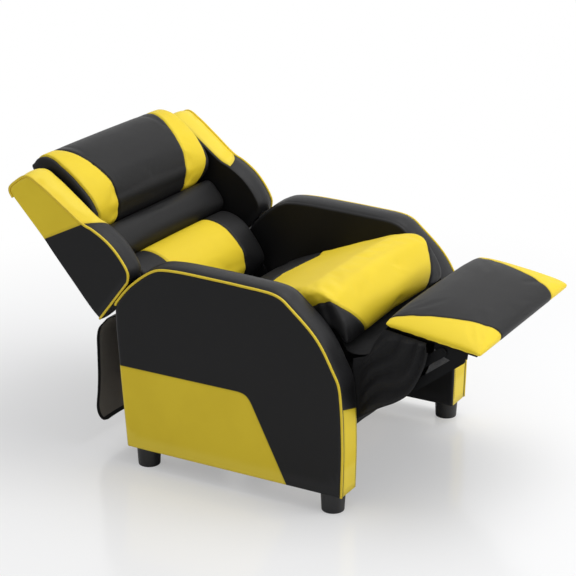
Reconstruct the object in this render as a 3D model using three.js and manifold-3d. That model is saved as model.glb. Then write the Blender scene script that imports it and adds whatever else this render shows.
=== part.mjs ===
// Push-back gaming recliner, shown fully reclined with its footrest out.
// Millimetres, +Z up, +X to the sitter's left, the sitter faces -Y.
// Side outlines are [y, z] pairs: y runs rearwards from the front of the arms, z up from the floor.
import * as THREE from 'three';
import { mergeVertices } from 'three/addons/utils/BufferGeometryUtils.js';
import Module from 'manifold-3d';

const wasm = await Module();
wasm.setup();

// Fits and clearances
const SEAT_GAP = 0.3;          // between two pieces that rest on each other
const SOFT_GAP = 0.5;          // between a pad and what carries it
const PIN_GAP = 0.5;           // round a pin in its hole
const CUT_OVERRUN = 1;         // how far a cutter runs past the face it opens

// Overall
const CHAIR_WIDTH = 697;
const ARM_WIDTH = 77;
const ARM_DEPTH = 633;
const ARM_RISE = 485;          // arm height above the legs
const LEG_HEIGHT = 50;

// Legs
const LEG_TOP_RADIUS = 30;
const LEG_FOOT_RADIUS = 27.5;
const LEG_EDGE = 1.5;
const LEG_SIDE_INSET = 31;     // leg axis from the arm's outer face
const LEG_FRONT_INSET = 45;
const LEG_REAR_INSET = 68;
const LEG_STUD_RADIUS = 4;
const LEG_STUD_LENGTH = 18;

// Arms
const ARM_PADDING = 18;        // foam round the wooden frame
const ARM_CROWN = 8;           // how far the top pad swells
const ARM_INNER_EDGE = 10;     // rounding of the inner edge
const LEATHER = 1.2;
const PANEL_TOP = 263;         // top of the yellow lower panels
const PANEL_TURN_DEPTH = 262;  // where the side panel's top edge turns down
const PANEL_FOOT_DEPTH = 154;  // where its slanting edge meets the bottom
const PANEL_EDGE_INSET = 7;
const PANEL_ROUND = 34;
const FRONT_PANEL_INSETS = [7.5, 8.5]; // front panel from the arm's inner and outer faces

// Piping
const PIPING_RADIUS = 3;
const PIPING_SEAT = 6;         // chamfer that the piping lies in
const PIPING_GAP = 0.8;

// Base rails
const RAIL_THICKNESS = 22;
const FRONT_RAIL_SETBACK = 180;
const FRONT_RAIL_HEIGHT = 18;
const FRONT_RAIL_DEPTH = 40;
const REAR_RAIL_SETBACK = 26;  // rear face of the rear rail from the rear of the arms
const REAR_RAIL_HEIGHT = 98;
const RAIL_LIFT = 2;

// Steel mechanism
const STEEL = 3;
const LAYER_PITCH = 4.5;       // from one layer of flat steel to the next
const FIRST_LAYER_INSET = 3.3; // outer face of the base plates from the arms
const SWING_LAYER_INSET = 8;
const SEAT_LAYER_INSET = 13;
const PIN_RADIUS = 4.5;
const PIN_HEAD = 0.6;
const BASE_PLATE_WIDTH = 44;
const SWING_LINK_WIDTH = 28;
const SEAT_PLATE_WIDTH = 32;
const LINK_WIDTH = 22;
const REAR_SWING_PIVOT = [490, 160];
const REAR_SWING_LENGTH = 120;
const SWING_LEAN = 26;         // degrees that the rear swing links lean forwards
const FRONT_SWING_FOOT = [242.2, 128.5];
const FRONT_SWING_HEAD = [230, 262];
const BOLT_RADIUS = 4;
const BOLT_HEAD_RADIUS = 7;
const BOLT_HEAD_HEIGHT = 4;
const BOLT_LENGTH = 38;
const BOLT_INSET = 40;
const TUBE_RADIUS = 12;
const TUBE_WALL = 2;
const TUBE_BACKSET = 100;      // cross tube behind the front swing pivot

// Footrest linkage
const FOLD_PIVOT = [111, 349.5];
const GUIDE_PIVOT = [134.5, 317];
const REAR_LINK_LENGTH = 150;
const REAR_LINK_OVERHANG = 44.5;
const FRONT_LINK_LENGTH = 209;
const FRONT_LINK_TAIL = 33;

// Footrest
const FOOTREST_HINGE_EDGE = [-54, 472];  // rear lower edge of the pad
const FOOTREST_DROOP = 7.3;    // degrees that the footrest falls towards its front
const FOOTREST_DEPTH = 245.8;
const FOOTREST_SIDE_GAP = 2.5;
const FOOTREST_WIDTH = CHAIR_WIDTH - 2 * (ARM_WIDTH + FOOTREST_SIDE_GAP);
const FOOTREST_THICKNESS = 27;  // in its middle, before the crown
const FOOTREST_BOARD = 12;
const FOOTREST_BOARD_INSET = 14;
const BRACKET_REACH = [147, 191]; // bracket pins from the rear edge of the pad
const BRACKET_DROP = [29.6, 36.5];
const BRACKET_FLANGE = 28;
const BRACKET_LENGTH = 82;

// Seat
const BACK_HINGE = [580, 340];
const SEAT_TILT = 22;          // degrees that the seat falls towards the back
const SEAT_SIDE_GAP = 3.5;     // between the seat and each arm
const SEAT_WIDTH = CHAIR_WIDTH - 2 * (ARM_WIDTH + SEAT_SIDE_GAP);
const SEAT_LENGTH = 552;       // from the back hinge to the front of the roll
const SEAT_THICKNESS = 98;     // the front roll hangs half as deep again
const SEAT_CROWN = 8;
const SEAT_FRAME_INSET = 32;
const SEAT_FRAME_WIDTH = SEAT_WIDTH - 2 * SEAT_FRAME_INSET;
const SEAT_FRAME_FRONT = 498;
const SEAT_FRAME_REAR = 70;
const SEAT_FRAME_HEIGHT = 34;
const SEAT_FRAME_RAIL = 45;
const SEAT_FLANGE_WIDTH = 44;
const SEAT_FLANGE_FRONT = 420;
const SEAT_FLANGE_REAR = 150;
const SEAT_ELBOW = [-10, -120]; // lower rear corner of the seat plate from the back hinge
const SPRING_COUNT = 4;
const SPRING_CURLS = 4;
const SPRING_WIRE = 4;
const SPRING_SWAY = 18;
const SPRING_DROP = 2;

// Backrest, upright in its own frame and leaned back round the hinge
const BACK_ANGLE = 40;         // degrees of the back above level
const BACK_REAR_SETBACK = 59.6; // rear face behind the hinge, at the hinge's height
const BACK_TAPER_SHARE = 0.175; // how much the rear face comes forwards for each unit of height
const BACK_COVER = 6;
const BACK_FRAME_DEPTH = 22;
const BACK_FRAME_FOOT = -5;
const BACK_FRAME_HEIGHT = 470;
const BACK_FRAME_POST = 60;
const BACK_SHOULDER = 108;     // height where the frame widens to the wings
const BACK_WIDTH = 565;
const BACK_CROSS_RAIL = 190;
const BACK_CROSS_WIDTH = 40;
const BACK_SIDE_FIT = 0.5;      // between the frame's sides and the wings
const WEBBING = 2;
const WEBBING_WIDTH = 45;
const WEBBING_COUNT = 4;
const BACK_BRACKET_HEAD = [22, 84]; // top of the back bracket from the hinge
const BACK_BRACKET_WIDTH = 34;

// Back pads
const HEADREST_FOOT = 279;
const HEADREST_HEIGHT = 229;
const HEADREST_THICKNESS = 98;
const MIDDLE_FOOT = 186;
const MIDDLE_HEIGHT = 89;
const MIDDLE_THICKNESS = 53;
const LUMBAR_FOOT = -10;
const LUMBAR_HEIGHT = 194;
const LUMBAR_THICKNESS = 90;
const LUMBAR_WIDTH = 500;
const PAD_CROWN = 6;
const SEAM_DEPTH = 4;
const SEAM_WIDTH = 5;
const SEAT_SEAM_INSET = 36;
const HEADREST_SEAM = 175;     // seam between the headrest's centre and its side strips
const LUMBAR_SEAM = 146;

// Wings
const WING_DEPTH = 182;
const WING_LENGTH = 383;
const WING_REAR_SETBACK = 42.6;
const WING_FOOT = 97.4;
const WING_WIDTH = 64;
const WING_CROWN = 5;
const WING_SPLAY_SHARE = 0.33; // how much wider the wings' heads are than their feet

// Cloth
const CLOTH = 4;
const DRAPE_MIDDLE = 476;      // width of the part between the links
const DRAPE_PARTING = 20;      // where that part begins, forwards of the arms
const SLING_WIDTH = 466;
const DRAPE_TACK = 121.7;      // where the drape meets the footrest, from its rear edge
const DRAPE_SIDE_REAR = 30;    // where its sides end, behind the front of the arms
const DRAPE_FOLD = 8;
const DRAPE_FOLDS = 3;
const SLING_FALL = 31;
const SLING_TACK = 6;          // behind the front of the seat frame
const SLING_FOLD = 4;
const SLING_TUCK = 3;          // how far its upper edge stays below the pad
const FLAP_WIDTH = 590;
const FLAP_REACH = 57;
const FLAP_DROP = 306;
const FLAP_FOLD = 5;
const FLAP_HEM = 88;           // height of the flap's hem on the back's rear face

// Outlines as shares: arm of its depth and rise, from the rear foot over the top to the front foot
const ARM_SHARES = [[0.967, 0], [0.98, 0.22], [0.992, 0.439], [1, 0.759], [0.984, 0.794], [0.932, 0.872],
  [0.861, 0.948], [0.821, 0.979], [0.791, 0.992], [0.714, 1], [0.589, 0.998], [0.438, 0.992],
  [0.302, 0.981], [0.262, 0.962], [0.227, 0.926], [0.144, 0.831], [0.101, 0.763], [0.054, 0.654],
  [0.028, 0.584], [0.017, 0.491], [0.008, 0.247], [0.011, 0]];
// Seat cushion of its length and thickness, from the rear foot over the top to under the front roll
const SEAT_SHARES = [[0.105, -1], [0.1, -0.6], [0.112, -0.2], [0.165, -0.07], [0.36, 0], [0.6, 0.01],
  [0.8, 0], [0.9, -0.09], [0.957, -0.36], [0.987, -0.73], [1, -1.12], [0.99, -1.36],
  [0.965, -1.48], [0.94, -1.48], [0.922, -1.36], [0.915, -1]];
const FOOTREST_SHARES = [[0.006, 0], [0, 0.16], [0.012, 0.4], [0.055, 0.66], [0.2, 0.94], [0.5, 1],
  [0.76, 0.97], [0.91, 0.8], [0.98, 0.48], [1, 0.18], [0.994, 0]];
// Back pads of their thickness and height, from the foot up the front to the head
const HEADREST_SHARES = [[0, 0], [0.58, 0], [0.78, 0.03], [0.92, 0.1], [1, 0.26], [0.99, 0.46],
  [0.9, 0.66], [0.75, 0.83], [0.52, 0.95], [0.26, 1], [0, 0.99]];
const MIDDLE_SHARES = [[0, 0], [0.7, 0], [0.92, 0.1], [1, 0.5], [0.94, 0.86], [0.72, 0.97], [0.4, 1], [0, 1]];
const LUMBAR_SHARES = [[0, 0], [0.6, 0], [0.85, 0.03], [0.95, 0.12], [1.01, 0.3], [1.02, 0.45],
  [1, 0.62], [0.87, 0.78], [0.7, 0.9], [0.5, 0.985], [0.3, 1], [0, 1]];
// Wing of its depth and length, from the rear foot up and over to the front foot
const WING_SHARES = [[0, 0], [0.016, 0.088], [0.11, 0.31], [0.207, 0.532], [0.249, 0.614], [0.337, 0.881],
  [0.352, 0.955], [0.375, 0.995], [0.43, 1.004], [0.596, 0.991], [0.803, 0.951], [0.858, 0.847],
  [0.888, 0.675], [0.918, 0.471], [0.965, 0.4], [1, 0.263], [0.959, 0.131], [0.886, 0.047], [0.782, 0.012]];

// Window of the arm's wooden frame, of the arm's depth and rise
const ARM_WINDOW_SHARES = [[0.79, 0.21], [0.79, 0.74], [0.74, 0.83], [0.36, 0.83],
  [0.15, 0.56], [0.15, 0.21]];
// Swell across a piece, of its half width and crown, or of its width from the inner face
const ARM_SWELL_SHARES = [[0.052, -0.375], [0.234, 0.625], [0.5, 1], [0.78, 0.75]];
const WING_SWELL_SHARES = [[0, -1.2], [0.0625, -0.6], [0.266, 0.6], [0.5, 1], [0.734, 0.6]];
const SEAT_SWELL_SHARES = [[1, -1.35], [0.985, -0.5], [0.933, 0.25], [0.746, 0.65], [0.373, 0.9], [0, 1]];
const FOOTREST_SWELL_SHARES = [[1, -0.7], [0.988, -0.25], [0.955, 0], [0.9, 0.25], [0.8, 0.5],
  [0.56, 0.83], [0, 1]];
// The footrest's pad thins towards its sides, to a share of its thickness
const FOOTREST_EDGE_SHARE = 0.24;
const FOOTREST_LENS_SHARES = { fall: 5, turn: 0.6 };
const PAD_SWELL_SHARES = [[1, -1.5], [0.982, -0.5], [0.939, 0.5], [0.8, 0.85], [0.4, 1.1], [0, 1.2]];
const SEAT_FACING_SHARES = [-0.5, 0.87];
// Hanging cloth, of its reach and rise or drop
const DRAPE_SHARES = [[0, 0.042], [0.002, 0.024], [0.022, 0.01], [0.071, 0.042], [0.21, 0.194],
  [0.355, 0.358], [0.472, 0.437], [0.649, 0.539], [0.769, 0.601], [0.854, 0.664], [0.922, 0.767],
  [0.971, 0.877], [1, 1]];
const SLING_SHARES = [[0, 0], [0.02, -0.5], [0.1, -0.94], [0.32, -1], [0.61, -0.45], [0.77, 0.95], [1, 2.1]];
const FLAP_SHARES = [[0, 0], [0.27, -0.02], [0.5, -0.066], [0.75, -0.125], [0.85, -0.2],
  [0.86, -0.34], [0.87, -0.54], [0.915, -0.68], [1, -0.845], [0.95, -1]];
const HELD_SHARE = 0.25;       // the part of a cloth next to its fixing that stays flat

// Colours and finishes
const BLACK_LEATHER = { color: 0x1b1b1d, roughness: 0.5, metalness: 0 };
const YELLOW_LEATHER = { color: 0xf2cf1d, roughness: 0.45, metalness: 0 };
const BLACK_PLASTIC = { color: 0x111112, roughness: 0.4, metalness: 0 };
const BLACK_CLOTH = { color: 0x0e0e10, roughness: 0.9, metalness: 0 };
const BROWN_CLOTH = { color: 0x3a3532, roughness: 0.95, metalness: 0 };
const WOOD = { color: 0xc9a36a, roughness: 0.7, metalness: 0 };
const PAINTED_STEEL = { color: 0x24262a, roughness: 0.45, metalness: 0.8 };
const BRIGHT_STEEL = { color: 0x9a9da1, roughness: 0.35, metalness: 1 };
const ELASTIC = { color: 0x2d2a26, roughness: 0.95, metalness: 0 };

const X_AXIS = new THREE.Vector3(1, 0, 0);
const Y_AXIS = new THREE.Vector3(0, 1, 0);
const Z_AXIS = new THREE.Vector3(0, 0, 1);
const HALF_CHAIR = CHAIR_WIDTH / 2;
const ARM_INNER = HALF_CHAIR - ARM_WIDTH;
const radians = THREE.MathUtils.degToRad;

// Small vector sums on [y, z] pairs
const along = ([ay, az], [by, bz], length) => {
  const reach = Math.hypot(by - ay, bz - az);
  return [ay + (by - ay) * length / reach, az + (bz - az) * length / reach];
};
const turned = ([y, z], degrees) => {
  const c = Math.cos(radians(degrees));
  const s = Math.sin(radians(degrees));
  return [y * c - z * s, y * s + z * c];
};
const shifted = ([y, z], [dy, dz]) => [y + dy, z + dz];
const placed = (point, degrees, origin) => shifted(turned(point, degrees), origin);
const across = (side, near, far) => (side > 0 ? [near, far] : [-far, -near]);

// A side outline given as an extrusion across x
function slab(outline, [x0, x1]) {
  const shape = new THREE.Shape(outline.map(([y, z]) => new THREE.Vector2(y, z)));
  const body = new THREE.ExtrudeGeometry(shape, { depth: x1 - x0, bevelEnabled: false });
  body.applyMatrix4(new THREE.Matrix4().makeBasis(Y_AXIS, Z_AXIS, X_AXIS));
  return body.translate(x0, 0, 0);
}

// A plan outline of [x, y] pairs given a height
function sheetMetal(outline, z0, z1) {
  const shape = new THREE.Shape(outline.map(([x, y]) => new THREE.Vector2(x, y)));
  return new THREE.ExtrudeGeometry(shape, { depth: z1 - z0, bevelEnabled: false }).translate(0, 0, z0);
}

const block = ([x0, x1], [y0, y1], [z0, z1]) =>
  slab([[y0, z0], [y1, z0], [y1, z1], [y0, z1]], [x0, x1]);

// A flat bar with round ends from one pivot to another
const ARC_STEPS = 5;
function bar(from, to, width, span) {
  const heading = Math.atan2(to[1] - from[1], to[0] - from[0]);
  const outline = [];
  for (const [centre, start] of [[to, heading - Math.PI / 2], [from, heading + Math.PI / 2]]) {
    for (let i = 0; i <= ARC_STEPS; i += 1) {
      const angle = start + Math.PI * i / ARC_STEPS;
      outline.push([centre[0] + Math.cos(angle) * width / 2, centre[1] + Math.sin(angle) * width / 2]);
    }
  }
  return slab(outline, span);
}

const PIN_SIDES = 12;
function pin([y, z], radius, [x0, x1], sides = PIN_SIDES) {
  const body = new THREE.CylinderGeometry(radius, radius, x1 - x0, sides);
  return body.rotateZ(Math.PI / 2).translate((x0 + x1) / 2, y, z);
}

function solid(geometry) {
  const plain = geometry.index ? geometry.toNonIndexed() : geometry.clone();
  plain.deleteAttribute('normal');
  plain.deleteAttribute('uv');
  const merged = mergeVertices(plain);
  return new wasm.Manifold(new wasm.Mesh({
    numProp: 3,
    vertProperties: new Float32Array(merged.attributes.position.array),
    triVerts: new Uint32Array(merged.index.array),
  }));
}

function shaped(manifold) {
  const mesh = manifold.getMesh();
  const geometry = new THREE.BufferGeometry();
  geometry.setAttribute('position', new THREE.BufferAttribute(new Float32Array(mesh.vertProperties), 3));
  geometry.setIndex(new THREE.BufferAttribute(new Uint32Array(mesh.triVerts), 1));
  return geometry;
}

const joined = (...pieces) => shaped(pieces.map(solid).reduce((sum, piece) => sum.add(piece)));
const cut = (body, ...tools) =>
  shaped(tools.map(solid).reduce((rest, tool) => rest.subtract(tool), solid(body)));


// Directions square to a run of [y, z] pairs, to the left of its way
function leftward(run) {
  return run.map((point, i) => {
    const [y0, z0] = run[Math.max(i - 1, 0)];
    const [y1, z1] = run[Math.min(i + 1, run.length - 1)];
    const reach = Math.hypot(y1 - y0, z1 - z0);
    return [(z0 - z1) / reach, (y1 - y0) / reach];
  });
}

// Outward directions round a padded outline, whose two ends slide along its flat support
function outwards(run) {
  const turn = THREE.ShapeUtils.isClockWise(run.map(([y, z]) => new THREE.Vector2(y, z))) ? 1 : -1;
  const out = leftward(run).map(([y, z]) => [y * turn, z * turn]);
  const last = run.length - 1;
  const [y, z] = along([0, 0], [run[0][0] - run[last][0], run[0][1] - run[last][1]], 1);
  out[0] = [y, z];
  out[last] = [-y, -z];
  return out;
}

const offset = (run, out, by) => run.map(([y, z], i) => [y + out[i][0] * by, z + out[i][1] * by]);

// A closed outline moved out by a distance, its corners mitred
function grown(outline, by) {
  const turn = THREE.ShapeUtils.isClockWise(outline.map(([y, z]) => new THREE.Vector2(y, z))) ? -1 : 1;
  const count = outline.length;
  return outline.map(([y, z], i) => {
    const [py, pz] = outline[(i + count - 1) % count];
    const [ny, nz] = outline[(i + 1) % count];
    const [ay, az] = along([0, 0], [z - pz, py - y], turn);
    const [cy, cz] = along([0, 0], [nz - z, y - ny], turn);
    const mitre = by / (1 + ay * cy + az * cz);
    return [y + (ay + cy) * mitre, z + (az + cz) * mitre];
  });
}

const STEPS_PER_SPAN = 2;
function smooth(points, divisions = STEPS_PER_SPAN) {
  const places = points.map(([y, z]) => new THREE.Vector3(0, y, z));
  const curve = new THREE.CatmullRomCurve3(places, false, 'centripetal');
  return curve.getPoints(divisions * (points.length - 1)).map((place) => [place.y, place.z]);
}

// A closed body from positions and triangles, turned inside out where its faces point in
function outward(places, index) {
  let volume = 0;
  for (let i = 0; i < index.length; i += 3) {
    const [a, b, c] = [places[index[i]], places[index[i + 1]], places[index[i + 2]]];
    volume += a.dot(new THREE.Vector3().crossVectors(b, c));
  }
  const faces = volume > 0 ? index : [...index].reverse();
  const geometry = new THREE.BufferGeometry().setFromPoints(places);
  return geometry.setIndex(faces);
}

// A closed body through rings of as many points each
const sideOn = (ring) => ring.map((place) => new THREE.Vector2(place.y, place.z));
function loft(rings, flat = sideOn) {
  const count = rings[0].length;
  const index = [];
  for (let r = 0; r + 1 < rings.length; r += 1) {
    for (let i = 0; i < count; i += 1) {
      const a = r * count + i;
      const b = r * count + (i + 1) % count;
      index.push(a, b, b + count, a, b + count, a + count);
    }
  }
  for (const [ring, way] of [[0, -1], [rings.length - 1, 1]]) {
    const contour = flat(rings[ring]);
    const agrees = THREE.ShapeUtils.isClockWise(contour) ? -way : way;
    const start = ring * count;
    for (const [a, b, c] of THREE.ShapeUtils.triangulateShape(contour, [])) {
      index.push(start + a, start + (agrees > 0 ? b : c), start + (agrees > 0 ? c : b));
    }
  }
  return outward(rings.flat(), index);
}

// Stations [x, swell] of a piece that lies across the middle, from shares of half its width and its crown
const spread = (shares, half, crown) => {
  const right = shares.map(([x, swell]) => [-x * half, swell * crown]);
  const left = right.slice(0, -1).reverse().map(([x, swell]) => [-x, swell]);
  return [...right, ...left];
};

function swellAt(stations, x) {
  const next = Math.max(stations.findIndex((station) => station[0] >= x), 1);
  const [[x0, swell0], [x1, swell1]] = [stations[next - 1], stations[next]];
  return swell0 + (swell1 - swell0) * (x - x0) / (x1 - x0);
}

// Sewn channels down a cushion on both sides of its middle
function seamed(stations, at) {
  const seams = [-at, at].flatMap((x) => [
    [x - SEAM_WIDTH, swellAt(stations, x - SEAM_WIDTH)],
    [x, swellAt(stations, x) - SEAM_DEPTH],
    [x + SEAM_WIDTH, swellAt(stations, x + SEAM_WIDTH)],
  ]);
  return [...stations, ...seams].sort((a, b) => a[0] - b[0]);
}

// A stuffed body: its side outline swells most where it faces the sitter, and is drawn in at both sides
function padded(run, stations, facing, mould = (place) => place) {
  const out = outwards(run);
  return loft(stations.map(([x, swell]) => run.map(([y, z], i) => {
    const share = facing ? Math.max(0, out[i][0] * facing[0] + out[i][1] * facing[1]) : 1;
    const by = swell > 0 ? swell * share : swell;
    return mould(new THREE.Vector3(x, y + out[i][0] * by, z + out[i][1] * by));
  })));
}

// A cord laid along the outer edge of an outline, in the chamfer that the pad has there
const CORD_SIDES = 6;
const PIPING_EASE = ((PIPING_RADIUS + PIPING_GAP) * Math.SQRT2 - PIPING_SEAT) / 2;
function piping(run, out, x, side, mould = (place) => place) {
  const around = Array.from({ length: CORD_SIDES }, (unused, k) => k * 2 * Math.PI / CORD_SIDES);
  const rings = run.map(([y, z], i) => {
    const [ny, nz] = out[i];
    const [ey, ez] = [y + ny * PIPING_EASE, z + nz * PIPING_EASE];
    const centre = mould(new THREE.Vector3(x + side * PIPING_EASE, ey, ez));
    return around.map((angle) => {
      const inPlane = Math.cos(angle) * PIPING_RADIUS;
      const step = new THREE.Vector3(Math.sin(angle) * PIPING_RADIUS, ny * inPlane, nz * inPlane);
      return step.add(centre);
    });
  });
  return loft(rings, () => around.map((angle) => new THREE.Vector2(Math.cos(angle), Math.sin(angle))));
}

// Hanging cloth along a run, with folds across x that fade towards its fixings
const FOLD_STEPS = 5;
function cloth(run, half, folds, depth, held) {
  const left = leftward(run);
  const steps = FOLD_STEPS * folds;
  const rings = Array.from({ length: steps + 1 }, (unused, k) => {
    const x = half * (2 * k / steps - 1);
    const wave = depth * Math.cos(2 * Math.PI * folds * k / steps);
    const side = (by) => run.map(([y, z], i) => {
      const reach = by + wave * held(i / (run.length - 1));
      return new THREE.Vector3(x, y + left[i][0] * reach, z + left[i][1] * reach);
    });
    return [...side(CLOTH / 2), ...side(-CLOTH / 2).reverse()];
  });
  return loft(rings);
}
const heldAtBothEnds = (share) => THREE.MathUtils.smoothstep(share, HELD_SHARE, 2 * HELD_SHARE)
  * (1 - THREE.MathUtils.smoothstep(share, 1 - HELD_SHARE, 1));
const heldAtTheTop = (share) => THREE.MathUtils.smoothstep(share, HELD_SHARE, 1);

// A flat wire of square bends in plan, given as its centre line of [x, y] pairs
function wire(line, width, z0, z1) {
  const left = [];
  const right = [];
  line.forEach(([x, y], i) => {
    const [px, py] = line[Math.max(i - 1, 0)];
    const [nx, ny] = line[Math.min(i + 1, line.length - 1)];
    const [ax, ay] = i > 0 ? along([0, 0], [py - y, x - px], 1) : [0, 0];
    const [bx, by] = i < line.length - 1 ? along([0, 0], [y - ny, nx - x], 1) : [0, 0];
    left.push([x + (ax + bx) * width / 2, y + (ay + by) * width / 2]);
    right.push([x - (ax + bx) * width / 2, y - (ay + by) * width / 2]);
  });
  return sheetMetal([...left, ...right.reverse()], z0, z1);
}

function mesh(name, geometry, look) {
  const body = new THREE.Mesh(geometry, new THREE.MeshStandardMaterial(look));
  body.name = name;
  return body;
}

const SIDES = [['left', 1], ['right', -1]];
const recliner = new THREE.Group();

// Places shared by several pieces
const LEG_TOP = LEG_HEIGHT;
const layer = (index) => {
  const inner = ARM_INNER - SEAT_LAYER_INSET - index * LAYER_PITCH;
  return [inner, inner + STEEL];
};
const PLATE_LAYER = [ARM_INNER - FIRST_LAYER_INSET, ARM_INNER - SEAT_GAP];
const SWING_LAYER = [ARM_INNER - SWING_LAYER_INSET, ARM_INNER - SWING_LAYER_INSET + STEEL];
const [SEAT_LAYER, GUIDE_LAYER, FRONT_LINK_LAYER, REAR_LINK_LAYER, UPPER_GUIDE_LAYER] =
  [0, 1, 2, 3, 4].map((index) => layer(index));
const HOLE = PIN_RADIUS + PIN_GAP;
const hole = (point) => pin(point, HOLE, [-HALF_CHAIR, HALF_CHAIR]);

const REAR_SWING_HEAD = shifted(REAR_SWING_PIVOT, turned([0, REAR_SWING_LENGTH], SWING_LEAN));
const FOOTREST_PIN = placed([-BRACKET_REACH[0], -BRACKET_DROP[0]], FOOTREST_DROOP, FOOTREST_HINGE_EDGE);
const GUIDE_PIN = placed([-BRACKET_REACH[1], -BRACKET_DROP[1]], FOOTREST_DROOP, FOOTREST_HINGE_EDGE);
// Where the two crossing links are pinned together: the lower meeting point of their two circles
const CROSS_PIN = (() => {
  const [dy, dz] = [FOOTREST_PIN[0] - FOLD_PIVOT[0], FOOTREST_PIN[1] - FOLD_PIVOT[1]];
  const reach = Math.hypot(dy, dz);
  const share = (REAR_LINK_LENGTH ** 2 - FRONT_LINK_LENGTH ** 2 + reach ** 2) / (2 * reach);
  const drop = Math.sqrt(REAR_LINK_LENGTH ** 2 - share ** 2);
  return [FOLD_PIVOT[0] + (dy * share - dz * drop) / reach, FOLD_PIVOT[1] + (dz * share + dy * drop) / reach];
})();
const REAR_LINK_END = along(FOLD_PIVOT, CROSS_PIN, REAR_LINK_LENGTH + REAR_LINK_OVERHANG);
const FRONT_LINK_END = along(FOOTREST_PIN, CROSS_PIN, FRONT_LINK_LENGTH + FRONT_LINK_TAIL);
const seatward = ([y, z]) => turned([y - BACK_HINGE[0], z - BACK_HINGE[1]], SEAT_TILT);
const backRear = (z, inset) => BACK_REAR_SETBACK - BACK_TAPER_SHARE * z - inset;

// Arms on their legs
const armRun = smooth(ARM_SHARES.map(([y, z]) => [y * ARM_DEPTH, LEG_TOP + z * ARM_RISE]));
const armOut = outwards(armRun);
const armStations = [
  [ARM_INNER, -ARM_INNER_EDGE],
  ...ARM_SWELL_SHARES.map(([x, swell]) => [ARM_INNER + x * ARM_WIDTH, swell * ARM_CROWN]),
  [HALF_CHAIR - PIPING_SEAT, 0],
  [HALF_CHAIR, -PIPING_SEAT],
];
const UP = [0, 1];
const window = ARM_WINDOW_SHARES.map(([y, z]) => [y * ARM_DEPTH, LEG_TOP + z * ARM_RISE]);
const frameOutline = ARM_SHARES.map(([y, z]) => [y * ARM_DEPTH, LEG_TOP + z * ARM_RISE]);
const frameSpan = [ARM_INNER + ARM_PADDING, HALF_CHAIR - ARM_PADDING];
const legAxis = HALF_CHAIR - LEG_SIDE_INSET;
const legPlaces = { front: LEG_FRONT_INSET, rear: ARM_DEPTH - LEG_REAR_INSET };
const boltLine = (from, to) => along(from, to, -BOLT_INSET);
const boltPlaces = {
  front: boltLine(FRONT_SWING_FOOT, REAR_SWING_PIVOT),
  rear: boltLine(REAR_SWING_PIVOT, FRONT_SWING_FOOT),
};
const boltSpan = [PLATE_LAYER[0] - SEAT_GAP, PLATE_LAYER[0] + BOLT_LENGTH];

function armFrame(gap) {
  const inner = offset(frameOutline, outwards(frameOutline), gap - ARM_PADDING);
  const foot = LEG_TOP - (gap > 0 ? CUT_OVERRUN : 0);
  const outline = gap > 0 ? [[inner[0][0], foot], ...inner, [inner[inner.length - 1][0], foot]] : inner;
  const [x0, x1] = [frameSpan[0] - gap, frameSpan[1] + gap];
  return cut(slab(outline, [x0, x1]), slab(grown(window, -gap), [x0 - CUT_OVERRUN, x1 + CUT_OVERRUN]));
}

const panelTurn = [PANEL_TURN_DEPTH, PANEL_TOP];
const panelFoot = [PANEL_FOOT_DEPTH, LEG_TOP];
const rearEdge = offset(armRun, armOut, -PANEL_EDGE_INSET)
  .filter(([y, z]) => y > PANEL_TURN_DEPTH && z < PANEL_TOP);
const panelRound = new THREE.QuadraticBezierCurve(
  new THREE.Vector2(PANEL_TURN_DEPTH + PANEL_ROUND, PANEL_TOP),
  new THREE.Vector2(...panelTurn),
  new THREE.Vector2(...along(panelTurn, panelFoot, PANEL_ROUND)),
).getPoints(CORD_SIDES).map((place) => [place.x, place.y]);
const panelOutline = [...rearEdge, [rearEdge[rearEdge.length - 1][0], PANEL_TOP], ...panelRound, panelFoot];

// Rows of the arm's front face, the first one worked out at the height of the panel's top
const firstRow = armRun.findIndex((point, i) => armOut[i][0] < 0 && point[1] < PANEL_TOP);
const rowShare = (PANEL_TOP - armRun[firstRow][1]) / (armRun[firstRow - 1][1] - armRun[firstRow][1]);
const between = (list) => [0, 1].map((axis) => list[firstRow][axis]
  + (list[firstRow - 1][axis] - list[firstRow][axis]) * rowShare);
const frontRows = [
  { point: between(armRun), out: between(armOut) },
  ...armRun.slice(firstRow).map((point, i) => ({ point, out: armOut[firstRow + i] })),
];
const frontStations = [
  ARM_INNER + FRONT_PANEL_INSETS[0],
  ...armStations.map(([x]) => x).filter((x) => x > ARM_INNER + FRONT_PANEL_INSETS[0]
    && x < HALF_CHAIR - FRONT_PANEL_INSETS[1]),
  HALF_CHAIR - FRONT_PANEL_INSETS[1],
];
const frontPanel = loft(frontStations.map((x) => {
  const swell = swellAt(armStations, x);
  const row = (by) => frontRows.map(({ point: [y, z], out: [ny, nz] }) => {
    const reach = by + (swell > 0 ? swell * Math.max(0, nz) : swell);
    return new THREE.Vector3(x, y + ny * reach, z + nz * reach);
  });
  return [...row(SEAT_GAP + LEATHER), ...row(SEAT_GAP).reverse()];
}));

const mirrored = (geometry, side) => {
  if (side > 0) return geometry;
  const flipped = geometry.clone().applyMatrix4(new THREE.Matrix4().makeScale(-1, 1, 1));
  flipped.setIndex([...flipped.index.array].reverse());
  return flipped;
};

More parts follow.
